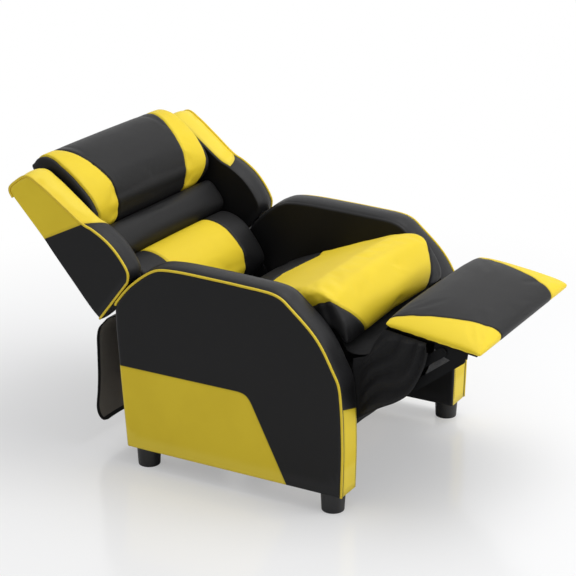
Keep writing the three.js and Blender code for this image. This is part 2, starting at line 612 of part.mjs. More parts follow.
const armPad = padded(armRun, armStations, UP);
const armPiping = piping(armRun.slice(STEPS_PER_SPAN * 3), armOut.slice(STEPS_PER_SPAN * 3), HALF_CHAIR, 1);
const legHole = ([, y]) => new THREE.CylinderGeometry(LEG_STUD_RADIUS + PIN_GAP, LEG_STUD_RADIUS + PIN_GAP,
  LEG_STUD_LENGTH + PIN_GAP + CUT_OVERRUN, PIN_SIDES)
  .rotateX(Math.PI / 2)
  .translate(legAxis, y, LEG_TOP + (LEG_STUD_LENGTH + PIN_GAP - CUT_OVERRUN) / 2);
const boltHoles = Object.values(boltPlaces).map((place) => pin(place, BOLT_RADIUS + PIN_GAP,
  [PLATE_LAYER[0] - CUT_OVERRUN, boltSpan[1] + PIN_GAP]));
const armWood = cut(armFrame(0), ...Object.entries(legPlaces).map(legHole), ...boltHoles);
const armCover = cut(armPad, armFrame(SEAT_GAP), ...boltHoles);

const LEG_SIDES = 24;
const legBody = new THREE.LatheGeometry([
  new THREE.Vector2(0, 0),
  new THREE.Vector2(LEG_FOOT_RADIUS - LEG_EDGE, 0),
  new THREE.Vector2(LEG_FOOT_RADIUS, LEG_EDGE),
  new THREE.Vector2(LEG_TOP_RADIUS, LEG_HEIGHT - LEG_EDGE),
  new THREE.Vector2(LEG_TOP_RADIUS - LEG_EDGE, LEG_HEIGHT),
  new THREE.Vector2(LEG_STUD_RADIUS, LEG_HEIGHT),
  new THREE.Vector2(LEG_STUD_RADIUS, LEG_HEIGHT + LEG_STUD_LENGTH),
  new THREE.Vector2(0, LEG_HEIGHT + LEG_STUD_LENGTH),
], LEG_SIDES).rotateX(Math.PI / 2);

const plateBolt = joined(
  pin([0, 0], BOLT_HEAD_RADIUS, [boltSpan[0] - BOLT_HEAD_HEIGHT, boltSpan[0]]),
  pin([0, 0], BOLT_RADIUS, boltSpan),
);
const basePlate = cut(
  bar(boltPlaces.front, boltPlaces.rear, BASE_PLATE_WIDTH, PLATE_LAYER),
  hole(FRONT_SWING_FOOT),
  hole(REAR_SWING_PIVOT),
  ...boltHoles,
);

for (const [hand, side] of SIDES) {
  recliner.add(
    mesh(`arm_frame_${hand}`, mirrored(armWood, side), WOOD),
    mesh(`arm_cover_${hand}`, mirrored(armCover, side), BLACK_LEATHER),
    mesh(`arm_side_panel_${hand}`, slab(panelOutline,
      across(side, HALF_CHAIR + SEAT_GAP, HALF_CHAIR + SEAT_GAP + LEATHER)), YELLOW_LEATHER),
    mesh(`arm_front_panel_${hand}`, mirrored(frontPanel, side), YELLOW_LEATHER),
    mesh(`arm_piping_${hand}`, mirrored(armPiping, side), YELLOW_LEATHER),
    mesh(`base_plate_${hand}`, mirrored(basePlate, side), PAINTED_STEEL),
  );
  for (const [end, y] of Object.entries(legPlaces)) {
    const leg = mesh(`leg_${end}_${hand}`, legBody, BLACK_PLASTIC);
    leg.position.set(side * legAxis, y, 0);
    const bolt = mesh(`plate_bolt_${end}_${hand}`, mirrored(plateBolt, side), BRIGHT_STEEL);
    bolt.position.set(0, ...boltPlaces[end]);
    recliner.add(leg, bolt);
  }
}

// Rails between the arms
const railSpan = [SEAT_GAP - ARM_INNER, ARM_INNER - SEAT_GAP];
const railFoot = LEG_TOP + RAIL_LIFT;
const rearRailFace = ARM_DEPTH - REAR_RAIL_SETBACK;
recliner.add(
  mesh('front_rail', block(railSpan, [FRONT_RAIL_SETBACK, FRONT_RAIL_SETBACK + FRONT_RAIL_DEPTH],
    [railFoot, railFoot + FRONT_RAIL_HEIGHT]), WOOD),
  mesh('rear_rail', block(railSpan, [rearRailFace - RAIL_THICKNESS, rearRailFace],
    [railFoot, railFoot + REAR_RAIL_HEIGHT]), WOOD),
);

// Swing links: pinned through the base plates, the rear ones through the seat plates too
const rearSwing = joined(
  bar(REAR_SWING_PIVOT, REAR_SWING_HEAD, SWING_LINK_WIDTH, SWING_LAYER),
  pin(REAR_SWING_PIVOT, PIN_RADIUS, [SWING_LAYER[0], PLATE_LAYER[1]]),
  pin(REAR_SWING_HEAD, PIN_RADIUS, [SEAT_LAYER[0] - PIN_HEAD, SWING_LAYER[1]]),
);
const frontSwing = joined(
  bar(FRONT_SWING_FOOT, FRONT_SWING_HEAD, SWING_LINK_WIDTH, SWING_LAYER),
  pin(FRONT_SWING_FOOT, PIN_RADIUS, [SWING_LAYER[0], PLATE_LAYER[1]]),
  pin(FRONT_SWING_HEAD, PIN_RADIUS, [SEAT_LAYER[1] + SOFT_GAP, SWING_LAYER[1]]),
);

// Seat, in its own frame at the back hinge
const seat = new THREE.Group();
seat.position.set(0, ...BACK_HINGE);
seat.rotation.x = radians(-SEAT_TILT);
recliner.add(seat);

const seatFoot = -SEAT_THICKNESS - SOFT_GAP;
const frameFoot = seatFoot - SEAT_FRAME_HEIGHT;
const flangeTop = frameFoot - SEAT_GAP;
const halfFrame = SEAT_FRAME_WIDTH / 2;
const windowHalf = halfFrame - SEAT_FRAME_RAIL;
const windowDepth = [SEAT_FRAME_RAIL - SEAT_FRAME_FRONT, -SEAT_FRAME_REAR - SEAT_FRAME_RAIL];
const seatFrame = cut(
  block([-halfFrame, halfFrame], [-SEAT_FRAME_FRONT, -SEAT_FRAME_REAR], [frameFoot, seatFoot]),
  block([-windowHalf, windowHalf], windowDepth, [frameFoot - CUT_OVERRUN, seatFoot + CUT_OVERRUN]),
);
const springTop = seatFoot - SPRING_DROP;
const springEnds = [windowDepth[0] + SEAT_GAP + SPRING_WIRE / 2, windowDepth[1] - SEAT_GAP - SPRING_WIRE / 2];
const springPitch = 2 * windowHalf / SPRING_COUNT;
const springStep = (springEnds[1] - springEnds[0]) / (2 * SPRING_CURLS + 2);
const springs = Array.from({ length: SPRING_COUNT }, (unused, k) => {
  const x = springPitch * (k + 1 / 2) - windowHalf;
  const line = [[x, springEnds[0]], [x, springEnds[0] + springStep]];
  for (let curl = 0; curl < 2 * SPRING_CURLS; curl += 1) {
    const y = springEnds[0] + springStep * (curl + 1);
    const way = curl % 2 ? -SPRING_SWAY : SPRING_SWAY;
    line.push([x + way, y], [x + way, y + springStep]);
  }
  line.push([x, springEnds[1] - springStep], [x, springEnds[1]]);
  return wire(line, SPRING_WIRE, springTop - SPRING_WIRE, springTop);
});
const tie = (y) => block([SEAT_GAP - windowHalf, windowHalf - SEAT_GAP],
  [y - SPRING_WIRE / 2, y + SPRING_WIRE / 2], [springTop - SPRING_WIRE, springTop]);

const seatPivots = [FOLD_PIVOT, GUIDE_PIVOT, FRONT_SWING_HEAD, REAR_SWING_HEAD].map(seatward);
const railHeight = flangeTop - SEAT_PLATE_WIDTH / 2 + SEAT_FRAME_HEIGHT / 2;
const railEnds = [[-SEAT_FLANGE_FRONT, railHeight], [-SEAT_FLANGE_REAR, railHeight]];
const plateBars = [
  [seatPivots[0], seatPivots[1]],
  [seatPivots[1], seatPivots[2]],
  [seatPivots[2], seatPivots[3]],
  [seatPivots[3], SEAT_ELBOW],
  [SEAT_ELBOW, [0, 0]],
  railEnds,
  [seatPivots[0], railEnds[0]],
  [seatPivots[3], railEnds[1]],
].map(([from, to]) => bar(from, to, SEAT_PLATE_WIDTH, SEAT_LAYER));
const flangeSpan = [SEAT_LAYER[1] - SEAT_FLANGE_WIDTH, SEAT_LAYER[1]];
const seatFlange = block(flangeSpan, [-SEAT_FLANGE_FRONT, -SEAT_FLANGE_REAR], [flangeTop - STEEL, flangeTop]);
const seatPlate = cut(
  joined(...plateBars, seatFlange),
  ...[seatPivots[0], seatPivots[1], seatPivots[3], [0, 0]].map(hole),
);
const tubePlace = along(seatPivots[2], seatPivots[3], TUBE_BACKSET);
const tubeSpan = [SEAT_GAP - SEAT_LAYER[0], SEAT_LAYER[0] - SEAT_GAP];
const boreSpan = [tubeSpan[0] - CUT_OVERRUN, tubeSpan[1] + CUT_OVERRUN];
const crossTube = cut(
  pin(tubePlace, TUBE_RADIUS, tubeSpan, 2 * PIN_SIDES),
  pin(tubePlace, TUBE_RADIUS - TUBE_WALL, boreSpan, 2 * PIN_SIDES),
);
const seatRun = smooth(SEAT_SHARES.map(([y, z]) => [-y * SEAT_LENGTH, z * SEAT_THICKNESS]));
const seatSeam = SEAT_WIDTH / 2 - SEAT_SEAM_INSET;
const seatStations = seamed(spread(SEAT_SWELL_SHARES, SEAT_WIDTH / 2, SEAT_CROWN), seatSeam);
seat.add(
  mesh('seat_frame', seatFrame, WOOD),
  mesh('seat_springs', joined(...springs, tie(springEnds[0]), tie(springEnds[1])), BRIGHT_STEEL),
  mesh('seat_cushion', padded(seatRun, seatStations, SEAT_FACING_SHARES), YELLOW_LEATHER),
  mesh('cross_tube', crossTube, PAINTED_STEEL),
);

// Footrest linkage: two crossing links on each side, with a guide below and a guide above
const rearLink = cut(
  joined(
    bar(FOLD_PIVOT, REAR_LINK_END, LINK_WIDTH, REAR_LINK_LAYER),
    pin(FOLD_PIVOT, PIN_RADIUS, [REAR_LINK_LAYER[0], SEAT_LAYER[1] + PIN_HEAD]),
    pin(CROSS_PIN, PIN_RADIUS, [REAR_LINK_LAYER[0], FRONT_LINK_LAYER[1] + PIN_HEAD]),
  ),
  hole(REAR_LINK_END),
);
const frontLink = cut(
  bar(FOOTREST_PIN, FRONT_LINK_END, LINK_WIDTH, FRONT_LINK_LAYER),
  hole(FOOTREST_PIN),
  hole(CROSS_PIN),
);
const lowerGuide = joined(
  bar(GUIDE_PIVOT, FRONT_LINK_END, LINK_WIDTH, GUIDE_LAYER),
  pin(GUIDE_PIVOT, PIN_RADIUS, [GUIDE_LAYER[0], SEAT_LAYER[1] + PIN_HEAD]),
  pin(FRONT_LINK_END, PIN_RADIUS, [FRONT_LINK_LAYER[1] + SOFT_GAP, GUIDE_LAYER[1]]),
);
const upperGuide = joined(
  bar(REAR_LINK_END, GUIDE_PIN, LINK_WIDTH, UPPER_GUIDE_LAYER),
  pin(REAR_LINK_END, PIN_RADIUS, [UPPER_GUIDE_LAYER[0], REAR_LINK_LAYER[1] + PIN_HEAD]),
  pin(GUIDE_PIN, PIN_RADIUS, [UPPER_GUIDE_LAYER[0], REAR_LINK_LAYER[0] - SOFT_GAP]),
);

// Footrest, in its own frame at the pad's rear lower edge
const footrest = new THREE.Group();
footrest.position.set(0, ...FOOTREST_HINGE_EDGE);
footrest.rotation.x = radians(FOOTREST_DROOP);
recliner.add(footrest);

const boardTop = -SEAT_GAP;
const boardFoot = boardTop - FOOTREST_BOARD;
const bracketTop = boardFoot - SEAT_GAP;
const footrestPins = [0, 1].map((index) => [-BRACKET_REACH[index], -BRACKET_DROP[index]]);
const bracketRear = BRACKET_REACH[0] - LINK_WIDTH;
const bracketSpan = [-bracketRear - BRACKET_LENGTH, -bracketRear];
const flangeInner = REAR_LINK_LAYER[1] - BRACKET_FLANGE;
const bracket = joined(
  bar(footrestPins[0], footrestPins[1], LINK_WIDTH, REAR_LINK_LAYER),
  block(REAR_LINK_LAYER, bracketSpan, [-BRACKET_DROP[0], bracketTop]),
  block([flangeInner, REAR_LINK_LAYER[1]], bracketSpan, [bracketTop - STEEL, bracketTop]),
  pin(footrestPins[0], PIN_RADIUS, [REAR_LINK_LAYER[0], FRONT_LINK_LAYER[1] + PIN_HEAD]),
);
const boardHalf = FOOTREST_WIDTH / 2 - FOOTREST_BOARD_INSET;
const footrestStations = spread(FOOTREST_SWELL_SHARES, FOOTREST_WIDTH / 2, PAD_CROWN);
const thinned = (place) => {
  const share = Math.min(1, Math.abs(place.x) / (FOOTREST_WIDTH / 2));
  const lens = (1 - share ** FOOTREST_LENS_SHARES.fall) ** FOOTREST_LENS_SHARES.turn;
  return place.setZ(place.z * (FOOTREST_EDGE_SHARE + (1 - FOOTREST_EDGE_SHARE) * lens));
};
const footrestRun = smooth(FOOTREST_SHARES.map(([y, z]) => [-y * FOOTREST_DEPTH, z * FOOTREST_THICKNESS]));
footrest.add(
  mesh('footrest_board', block([-boardHalf, boardHalf],
    [FOOTREST_BOARD_INSET - FOOTREST_DEPTH, -FOOTREST_BOARD_INSET], [boardFoot, boardTop]), WOOD),
  mesh('footrest_pad', padded(footrestRun, footrestStations, UP, thinned), BLACK_LEATHER),
);

// The sling hangs from the front of the seat frame to the rear of the footrest
const slingTack = [SLING_TACK - SEAT_FRAME_FRONT, frameFoot - SEAT_GAP - CLOTH / 2];
const slingFoot = placed(slingTack, -SEAT_TILT, BACK_HINGE);
const slingEdge = [SEAT_GAP + CLOTH / 2 - FOOTREST_BOARD_INSET, -SLING_TUCK];
const slingTop = placed(slingEdge, FOOTREST_DROOP, FOOTREST_HINGE_EDGE);
const slingLine = SLING_SHARES.map(([reach, fall]) => [
  slingFoot[0] + reach * (slingTop[0] - slingFoot[0]),
  slingFoot[1] + fall * SLING_FALL,
]);
const sling = cloth(smooth(slingLine), SLING_WIDTH / 2, DRAPE_FOLDS, SLING_FOLD, heldAtBothEnds);

// The drape hangs from the front rail to the underside of the footrest. In front it passes between
// the links, and its sides go up outside them.
const drapeFoot = [FRONT_RAIL_SETBACK - SEAT_GAP - CLOTH / 2, railFoot];
const drapeHead = placed([-DRAPE_TACK, boardFoot - SOFT_GAP], FOOTREST_DROOP, FOOTREST_HINGE_EDGE);
const drapeLine = DRAPE_SHARES.map(([reach, rise]) => [
  drapeFoot[0] + reach * (drapeHead[0] - drapeFoot[0]),
  drapeFoot[1] + rise * (drapeHead[1] - drapeFoot[1]),
]);
const drapeHalf = ARM_INNER - SEAT_GAP;
const inFront = ([y]) => y < DRAPE_SIDE_REAR;
const drapeCorner = shifted(drapeLine.find(inFront), [DRAPE_FOLD, -2 * DRAPE_FOLD]);
const drapeSide = [drapeCorner, ...drapeLine.filter(inFront), ...slingLine.filter(inFront).reverse()];
const drapeParting = [drapeHead[0] - CLOTH, -DRAPE_PARTING];
const drape = joined(
  cut(
    cloth(smooth(drapeLine), drapeHalf, DRAPE_FOLDS, DRAPE_FOLD, heldAtBothEnds),
    ...SIDES.map(([, side]) => block(across(side, DRAPE_MIDDLE / 2, drapeHalf + CUT_OVERRUN), drapeParting,
      [drapeFoot[1], drapeHead[1] + CUT_OVERRUN])),
  ),
  ...SIDES.map(([, side]) => slab(drapeSide, across(side, drapeHalf - CLOTH, drapeHalf))),
);
recliner.add(mesh('front_drape', drape, BLACK_CLOTH), mesh('footrest_sling', sling, BLACK_CLOTH));

// Backrest, upright in its own frame at the back hinge
const back = new THREE.Group();
back.position.set(0, ...BACK_HINGE);
back.rotation.x = radians(BACK_ANGLE - 90);
recliner.add(back);

const backLayer = ([z0, z1], near, far) => [
  [backRear(z0, near), z0], [backRear(z0, far), z0], [backRear(z1, far), z1], [backRear(z1, near), z1],
];
const backSpan = [BACK_FRAME_FOOT, BACK_FRAME_HEIGHT];
const frameRear = BACK_COVER + SEAT_GAP;
const frameFront = frameRear + BACK_FRAME_DEPTH;
const webbingRear = frameFront + SEAT_GAP;
const padRear = webbingRear + WEBBING + SOFT_GAP;
const halfBack = BACK_WIDTH / 2;
const halfFoot = GUIDE_LAYER[0] - SEAT_GAP;
const shoulders = [1, -1].map((side) => block(across(side, halfFoot, halfBack + CUT_OVERRUN),
  [-BACK_REAR_SETBACK, 2 * BACK_REAR_SETBACK], [BACK_FRAME_FOOT - CUT_OVERRUN, BACK_SHOULDER]));
const throughBack = [-BACK_REAR_SETBACK, 2 * BACK_REAR_SETBACK];
const opening = (half, [z0, z1]) => block([-half, half], throughBack, [z0, z1]);
const crossRail = [BACK_CROSS_RAIL - BACK_CROSS_WIDTH / 2, BACK_CROSS_RAIL + BACK_CROSS_WIDTH / 2];
const lowerWindow = [BACK_FRAME_FOOT + BACK_FRAME_POST, crossRail[0]];
const upperWindow = [crossRail[1], BACK_FRAME_HEIGHT - BACK_FRAME_POST];
const backFrame = cut(
  slab(backLayer(backSpan, frameRear, frameFront), [-halfBack, halfBack]),
  opening(halfFoot - BACK_FRAME_POST, lowerWindow),
  opening(halfBack - BACK_FRAME_POST, upperWindow),
  ...shoulders,
);
const backCover = cut(slab(backLayer(backSpan, 0, BACK_COVER), [-halfBack, halfBack]), ...shoulders);
const webbingLap = BACK_FRAME_POST / 2;
const strap = ([z0, z1], [x0, x1]) => slab(backLayer([z0, z1], webbingRear, webbingRear + WEBBING), [x0, x1]);
const uprights = Array.from({ length: WEBBING_COUNT }, (unused, k) => {
  const x = (halfFoot - BACK_FRAME_POST) * (2 * (k + 1 / 2) / WEBBING_COUNT - 1);
  return strap([lowerWindow[0] - webbingLap, upperWindow[1] + webbingLap],
    [x - WEBBING_WIDTH / 2, x + WEBBING_WIDTH / 2]);
});
const crossStraps = [lowerWindow, upperWindow].map(([z0, z1]) => {
  const middle = (z0 + z1) / 2;
  const half = halfFoot - webbingLap;
  return strap([middle - WEBBING_WIDTH / 2, middle + WEBBING_WIDTH / 2], [-half, half]);
});
const padRun = (shares, foot, height, thickness) => smooth(shares.map(([y, z]) => {
  const level = foot + z * height;
  return [backRear(level, padRear) - y * thickness, level];
}));
const FORWARDS = [-1, 0];
const halfPad = halfBack - PIPING_SEAT / 2 - SOFT_GAP;
const padSwell = (half) => spread(PAD_SWELL_SHARES, half, PAD_CROWN);
back.add(
  mesh('back_frame', backFrame, WOOD),
  mesh('back_cover', backCover, BLACK_LEATHER),
  mesh('back_webbing', joined(...uprights, ...crossStraps), ELASTIC),
  mesh('headrest_roll', padded(padRun(HEADREST_SHARES, HEADREST_FOOT, HEADREST_HEIGHT, HEADREST_THICKNESS),
    seamed(padSwell(halfPad), HEADREST_SEAM), FORWARDS), BLACK_LEATHER),
  mesh('middle_pad', padded(padRun(MIDDLE_SHARES, MIDDLE_FOOT, MIDDLE_HEIGHT, MIDDLE_THICKNESS),
    padSwell(halfPad), FORWARDS), BLACK_LEATHER),
  mesh('lumbar_roll', padded(padRun(LUMBAR_SHARES, LUMBAR_FOOT, LUMBAR_HEIGHT, LUMBAR_THICKNESS),
    seamed(padSwell(LUMBAR_WIDTH / 2), LUMBAR_SEAM), FORWARDS), YELLOW_LEATHER),
);

// Wings, splayed outwards towards their heads
const wingInner = halfBack + BACK_SIDE_FIT;
const wingOuter = wingInner + WING_WIDTH;
const wingStations = [
  ...WING_SWELL_SHARES.map(([x, swell]) => [wingInner + x * WING_WIDTH, swell * WING_CROWN]),
  [wingOuter - PIPING_SEAT, 0],
  [wingOuter, -PIPING_SEAT],
];
const splay = (place) => {
  const rise = (place.z - WING_FOOT) / WING_LENGTH;
  place.x = wingInner + (place.x - wingInner) * (1 + WING_SPLAY_SHARE * rise);
  return place;
};
const wingRun = smooth(WING_SHARES.map(([y, z]) =>
  [WING_REAR_SETBACK - y * WING_DEPTH, WING_FOOT + z * WING_LENGTH]));
const wingOut = outwards(wingRun);
const wing = padded(wingRun, wingStations, null, splay);
const WING_CORNER = 6;
const pipedFrom = STEPS_PER_SPAN * WING_CORNER;
const wingPiping = piping(wingRun.slice(pipedFrom), wingOut.slice(pipedFrom), wingOuter, 1, splay);
const backBracket = joined(
  bar([0, 0], BACK_BRACKET_HEAD, BACK_BRACKET_WIDTH, GUIDE_LAYER),
  pin([0, 0], PIN_RADIUS, [GUIDE_LAYER[0], SEAT_LAYER[1] + PIN_HEAD]),
);

for (const [hand, side] of SIDES) {
  recliner.add(
    mesh(`swing_link_rear_${hand}`, mirrored(rearSwing, side), PAINTED_STEEL),
    mesh(`swing_link_front_${hand}`, mirrored(frontSwing, side), PAINTED_STEEL),
    mesh(`rear_link_${hand}`, mirrored(rearLink, side), PAINTED_STEEL),
    mesh(`front_link_${hand}`, mirrored(frontLink, side), PAINTED_STEEL),
    mesh(`lower_guide_${hand}`, mirrored(lowerGuide, side), PAINTED_STEEL),
    mesh(`upper_guide_${hand}`, mirrored(upperGuide, side), PAINTED_STEEL),
  );
  seat.add(mesh(`seat_plate_${hand}`, mirrored(seatPlate, side), PAINTED_STEEL));
  footrest.add(mesh(`footrest_bracket_${hand}`, mirrored(bracket, side), PAINTED_STEEL));
  back.add(
    mesh(`back_bracket_${hand}`, mirrored(backBracket, side), PAINTED_STEEL),
    mesh(`wing_${hand}`, mirrored(wing, side), BLACK_LEATHER),
    mesh(`wing_piping_${hand}`, mirrored(wingPiping, side), YELLOW_LEATHER),
  );
}

// The flap hangs from a hem on the back's rear face and hides the mechanism from behind
const hem = placed([backRear(FLAP_HEM, 0) + SEAT_GAP + SOFT_GAP, FLAP_HEM], BACK_ANGLE - 90, BACK_HINGE);
const flapRun = smooth(FLAP_SHARES.map(([y, z]) => shifted(hem, [y * FLAP_REACH, z * FLAP_DROP])));
recliner.add(mesh('back_flap', cloth(flapRun, FLAP_WIDTH / 2, 2, FLAP_FOLD, heldAtTheTop), BROWN_CLOTH));

const bounds = new THREE.Box3().setFromObject(recliner, true);
recliner.position.y = -(bounds.min.y + bounds.max.y) / 2;

export default recliner;
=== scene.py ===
import math

import bmesh
import bpy
import numpy as np
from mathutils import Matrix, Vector, noise
from mathutils.bvhtree import BVHTree


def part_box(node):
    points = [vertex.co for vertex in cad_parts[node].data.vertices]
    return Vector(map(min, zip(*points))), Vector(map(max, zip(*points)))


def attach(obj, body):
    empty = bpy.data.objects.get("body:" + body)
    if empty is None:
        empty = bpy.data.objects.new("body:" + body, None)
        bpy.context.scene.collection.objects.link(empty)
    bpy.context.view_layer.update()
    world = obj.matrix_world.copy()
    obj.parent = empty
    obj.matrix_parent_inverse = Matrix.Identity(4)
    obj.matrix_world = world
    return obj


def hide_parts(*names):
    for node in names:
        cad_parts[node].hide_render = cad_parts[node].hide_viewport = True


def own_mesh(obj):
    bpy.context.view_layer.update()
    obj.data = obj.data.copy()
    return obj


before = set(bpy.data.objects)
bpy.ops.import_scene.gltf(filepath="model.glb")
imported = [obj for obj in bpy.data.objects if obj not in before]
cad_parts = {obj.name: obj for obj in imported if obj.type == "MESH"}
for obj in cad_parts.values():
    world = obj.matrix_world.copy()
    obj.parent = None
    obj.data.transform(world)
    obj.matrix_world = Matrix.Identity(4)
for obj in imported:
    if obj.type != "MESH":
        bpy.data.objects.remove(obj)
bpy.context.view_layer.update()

# Side places are in millimetres: y rearwards from the arms' fronts, z up from the floor.
# The frame's own middle lies MIDDLE behind the arms' fronts.
MM = 0.001
MIDDLE = 317.3649446
HANDS = (("left", 1), ("right", -1))


class Datum:
    """A carried group's own frame: an origin and a turn about x, in millimetres."""

    def __init__(self, origin=(0.0, 0.0), degrees=0.0):
        self.origin = origin
        self.cos = math.cos(math.radians(degrees))
        self.sin = math.sin(math.radians(degrees))

    def place(self, x, y, z):
        """The place in metres of a point given in this frame."""
        across = y * self.cos - z * self.sin + self.origin[0] - MIDDLE
        up = y * self.sin + z * self.cos + self.origin[1]
        return Vector((x * MM, across * MM, up * MM))

    def way(self, x, y, z):
        """A direction given in this frame."""
        return Vector((x, y * self.cos - z * self.sin, y * self.sin + z * self.cos))

    def own(self, places):
        """Places in metres, as an array in this frame's millimetres."""
        y = places[:, 1] / MM + MIDDLE - self.origin[0]
        z = places[:, 2] / MM - self.origin[1]
        return np.stack([places[:, 0] / MM, y * self.cos + z * self.sin, z * self.cos - y * self.sin], axis=1)


HINGE = (580.0, 340.0)
CHAIR = Datum()
SEAT = Datum(HINGE, -22.0)
BACK = Datum(HINGE, -50.0)
FOOTREST = Datum((-54.0, 472.0), 7.3)


# Shader maths

def by_node(operation, swapped=False):
    """A method that works out the value and another one by a Math node."""
    return lambda self, other: self.math(operation, other, swapped)


class Tone:
    """One output of a node. Sums written on it add Math nodes."""

    def __init__(self, recipe, socket):
        self.recipe = recipe
        self.socket = socket

    def math(self, operation, other=None, swapped=False, clamp=False):
        pair = [self] if other is None else [self, other]
        if swapped:
            pair.reverse()
        return self.recipe.make("ShaderNodeMath", {"operation": operation, "use_clamp": clamp},
                                dict(enumerate(pair)))

    __add__ = by_node("ADD")
    __radd__ = by_node("ADD", True)
    __sub__ = by_node("SUBTRACT")
    __rsub__ = by_node("SUBTRACT", True)
    __mul__ = by_node("MULTIPLY")
    __rmul__ = by_node("MULTIPLY", True)
    __truediv__ = by_node("DIVIDE")
    least = by_node("MINIMUM")
    most = by_node("MAXIMUM")

    def __abs__(self):
        return self.math("ABSOLUTE")

    def clamped(self):
        return self.math("ADD", 0.0, clamp=True)

    def near_zero(self, reach):
        """1 where the value is 0, falling to 0 at the reach."""
        return (1 - abs(self) / reach).clamped()


class Recipe:
    """A material in the making."""

    def __init__(self, name):
        self.material = bpy.data.materials.new(name)
        self.material.use_nodes = True
        self.tree = self.material.node_tree
        self.tree.nodes.clear()
        self.output = self.tree.nodes.new("ShaderNodeOutputMaterial")

    def make(self, kind, settings=None, values=None, out=0):
        node = self.tree.nodes.new(kind)
        for name, value in (settings or {}).items():
            setattr(node, name, value)
        for name, value in (values or {}).items():
            self.feed(node.inputs[name], value)
        return Tone(self, node.outputs[out])

    def feed(self, socket, value):
        if isinstance(value, Tone):
            self.tree.links.new(value.socket, socket)
        elif hasattr(value, "__len__") and len(value) == 3 and socket.type == "RGBA":
            socket.default_value = (*value, 1.0)
        else:
            socket.default_value = value

    def place(self):
        return self.make("ShaderNodeTexCoord", out="Object")

    def weave_place(self):
        return self.make("ShaderNodeUVMap", {"uv_map": "weave"}, out="UV")

    def worked_out(self, name):
        return self.make("ShaderNodeAttribute", {"attribute_name": name}, out="Fac")

    def parts(self, vector):
        node = self.tree.nodes.new("ShaderNodeSeparateXYZ")
        self.feed(node.inputs[0], vector)
        return [Tone(self, socket) for socket in node.outputs]

    def cloud(self, scale, detail=2.0, rough=0.5, place=None):
        values = {"Vector": place or self.place(), "Scale": scale, "Detail": detail, "Roughness": rough}
        return self.make("ShaderNodeTexNoise", {"noise_dimensions": "3D"}, values, out="Fac")

    def cells(self, scale, feature="F1"):
        values = {"Vector": self.place(), "Scale": scale}
        return self.make("ShaderNodeTexVoronoi", {"feature": feature}, values, out="Distance")

    def bands(self, direction, place, scale, distortion, detail=2.0):
        values = {"Vector": place, "Scale": scale, "Distortion": distortion, "Detail": detail}
        settings = {"wave_type": "BANDS", "bands_direction": direction}
        return self.make("ShaderNodeTexWave", settings, values, out="Fac")

    def stretched(self, scale):
        values = {"Vector": self.place(), "Scale": scale}
        return self.make("ShaderNodeMapping", {"vector_type": "POINT"}, values)

    def mix(self, share, first, second):
        """The first colour turning into the second as the share goes from 0 to 1."""
        node = self.tree.nodes.new("ShaderNodeMix")
        node.data_type = "RGBA"
        for socket, value in zip([node.inputs[0], node.inputs[6], node.inputs[7]], [share, first, second]):
            self.feed(socket, value)
        return Tone(self, node.outputs[2])

    def ramp(self, share, stops):
        """Colours at their shares of a ramp."""
        node = self.tree.nodes.new("ShaderNodeValToRGB")
        elements = node.color_ramp.elements
        while len(elements) < len(stops):
            elements.new(0.5)
        for element, (at, colour) in zip(elements, stops):
            element.position = at
            element.color = (*colour, 1.0)
        self.feed(node.inputs["Fac"], share)
        return Tone(self, node.outputs[0])

    def ease(self, value, low, high, to_low=0.0, to_high=1.0):
        values = {"Value": value, "From Min": low, "From Max": high, "To Min": to_low, "To Max": to_high}
        return self.make("ShaderNodeMapRange", {"interpolation_type": "SMOOTHSTEP"}, values)

    def relief(self, height, depth, strength=1.0, under=None):
        """A bump of a height from 0 to 1, its depth in metres."""
        values = {"Height": height, "Distance": depth, "Strength": strength}
        if under is not None:
            values["Normal"] = under
        return self.make("ShaderNodeBump", None, values)

    def finish(self, **values):
        shader = self.tree.nodes.new("ShaderNodeBsdfPrincipled")
        for name, value in values.items():
            self.feed(shader.inputs[name.replace("_", " ")], value)
        self.tree.links.new(shader.outputs[0], self.output.inputs["Surface"])
        return self.material


# Finishes

BLACK = (0.0068, 0.0068, 0.0074)
BLACK_DUSTY = (0.0094, 0.0093, 0.0097)
# Black leather on the crests: worn, and lightened as a painted highlight
BLACK_WORN_AND_SHEEN = (0.015, 0.015, 0.016)
YELLOW = (0.84, 0.63, 0.032)
YELLOW_DEEP = (0.70, 0.50, 0.018)
YELLOW_PALE = (0.90, 0.70, 0.075)
# Painted shade: the gap at each seam is coloured near black
SEAM_GAP_SHADE = (0.004, 0.004, 0.004)
SEAM_GAP_SHADE_REACH = 1.1
# Dirt and painted shade: the leather beside each seam is darkened towards a brown black
SEAM_SOIL_AND_SHADE = (0.01, 0.008, 0.004)
SEAM_SOIL_AND_SHADE_REACH = 9.0
SEAM_GROOVE_REACH = 2.4
SEAM_GROOVE_DEPTH = 0.0011
PEBBLE_DEPTH = 0.00022
CREASE_DEPTH = 0.0011


def dimmed(colour, share):
    return tuple(share * c for c in colour)


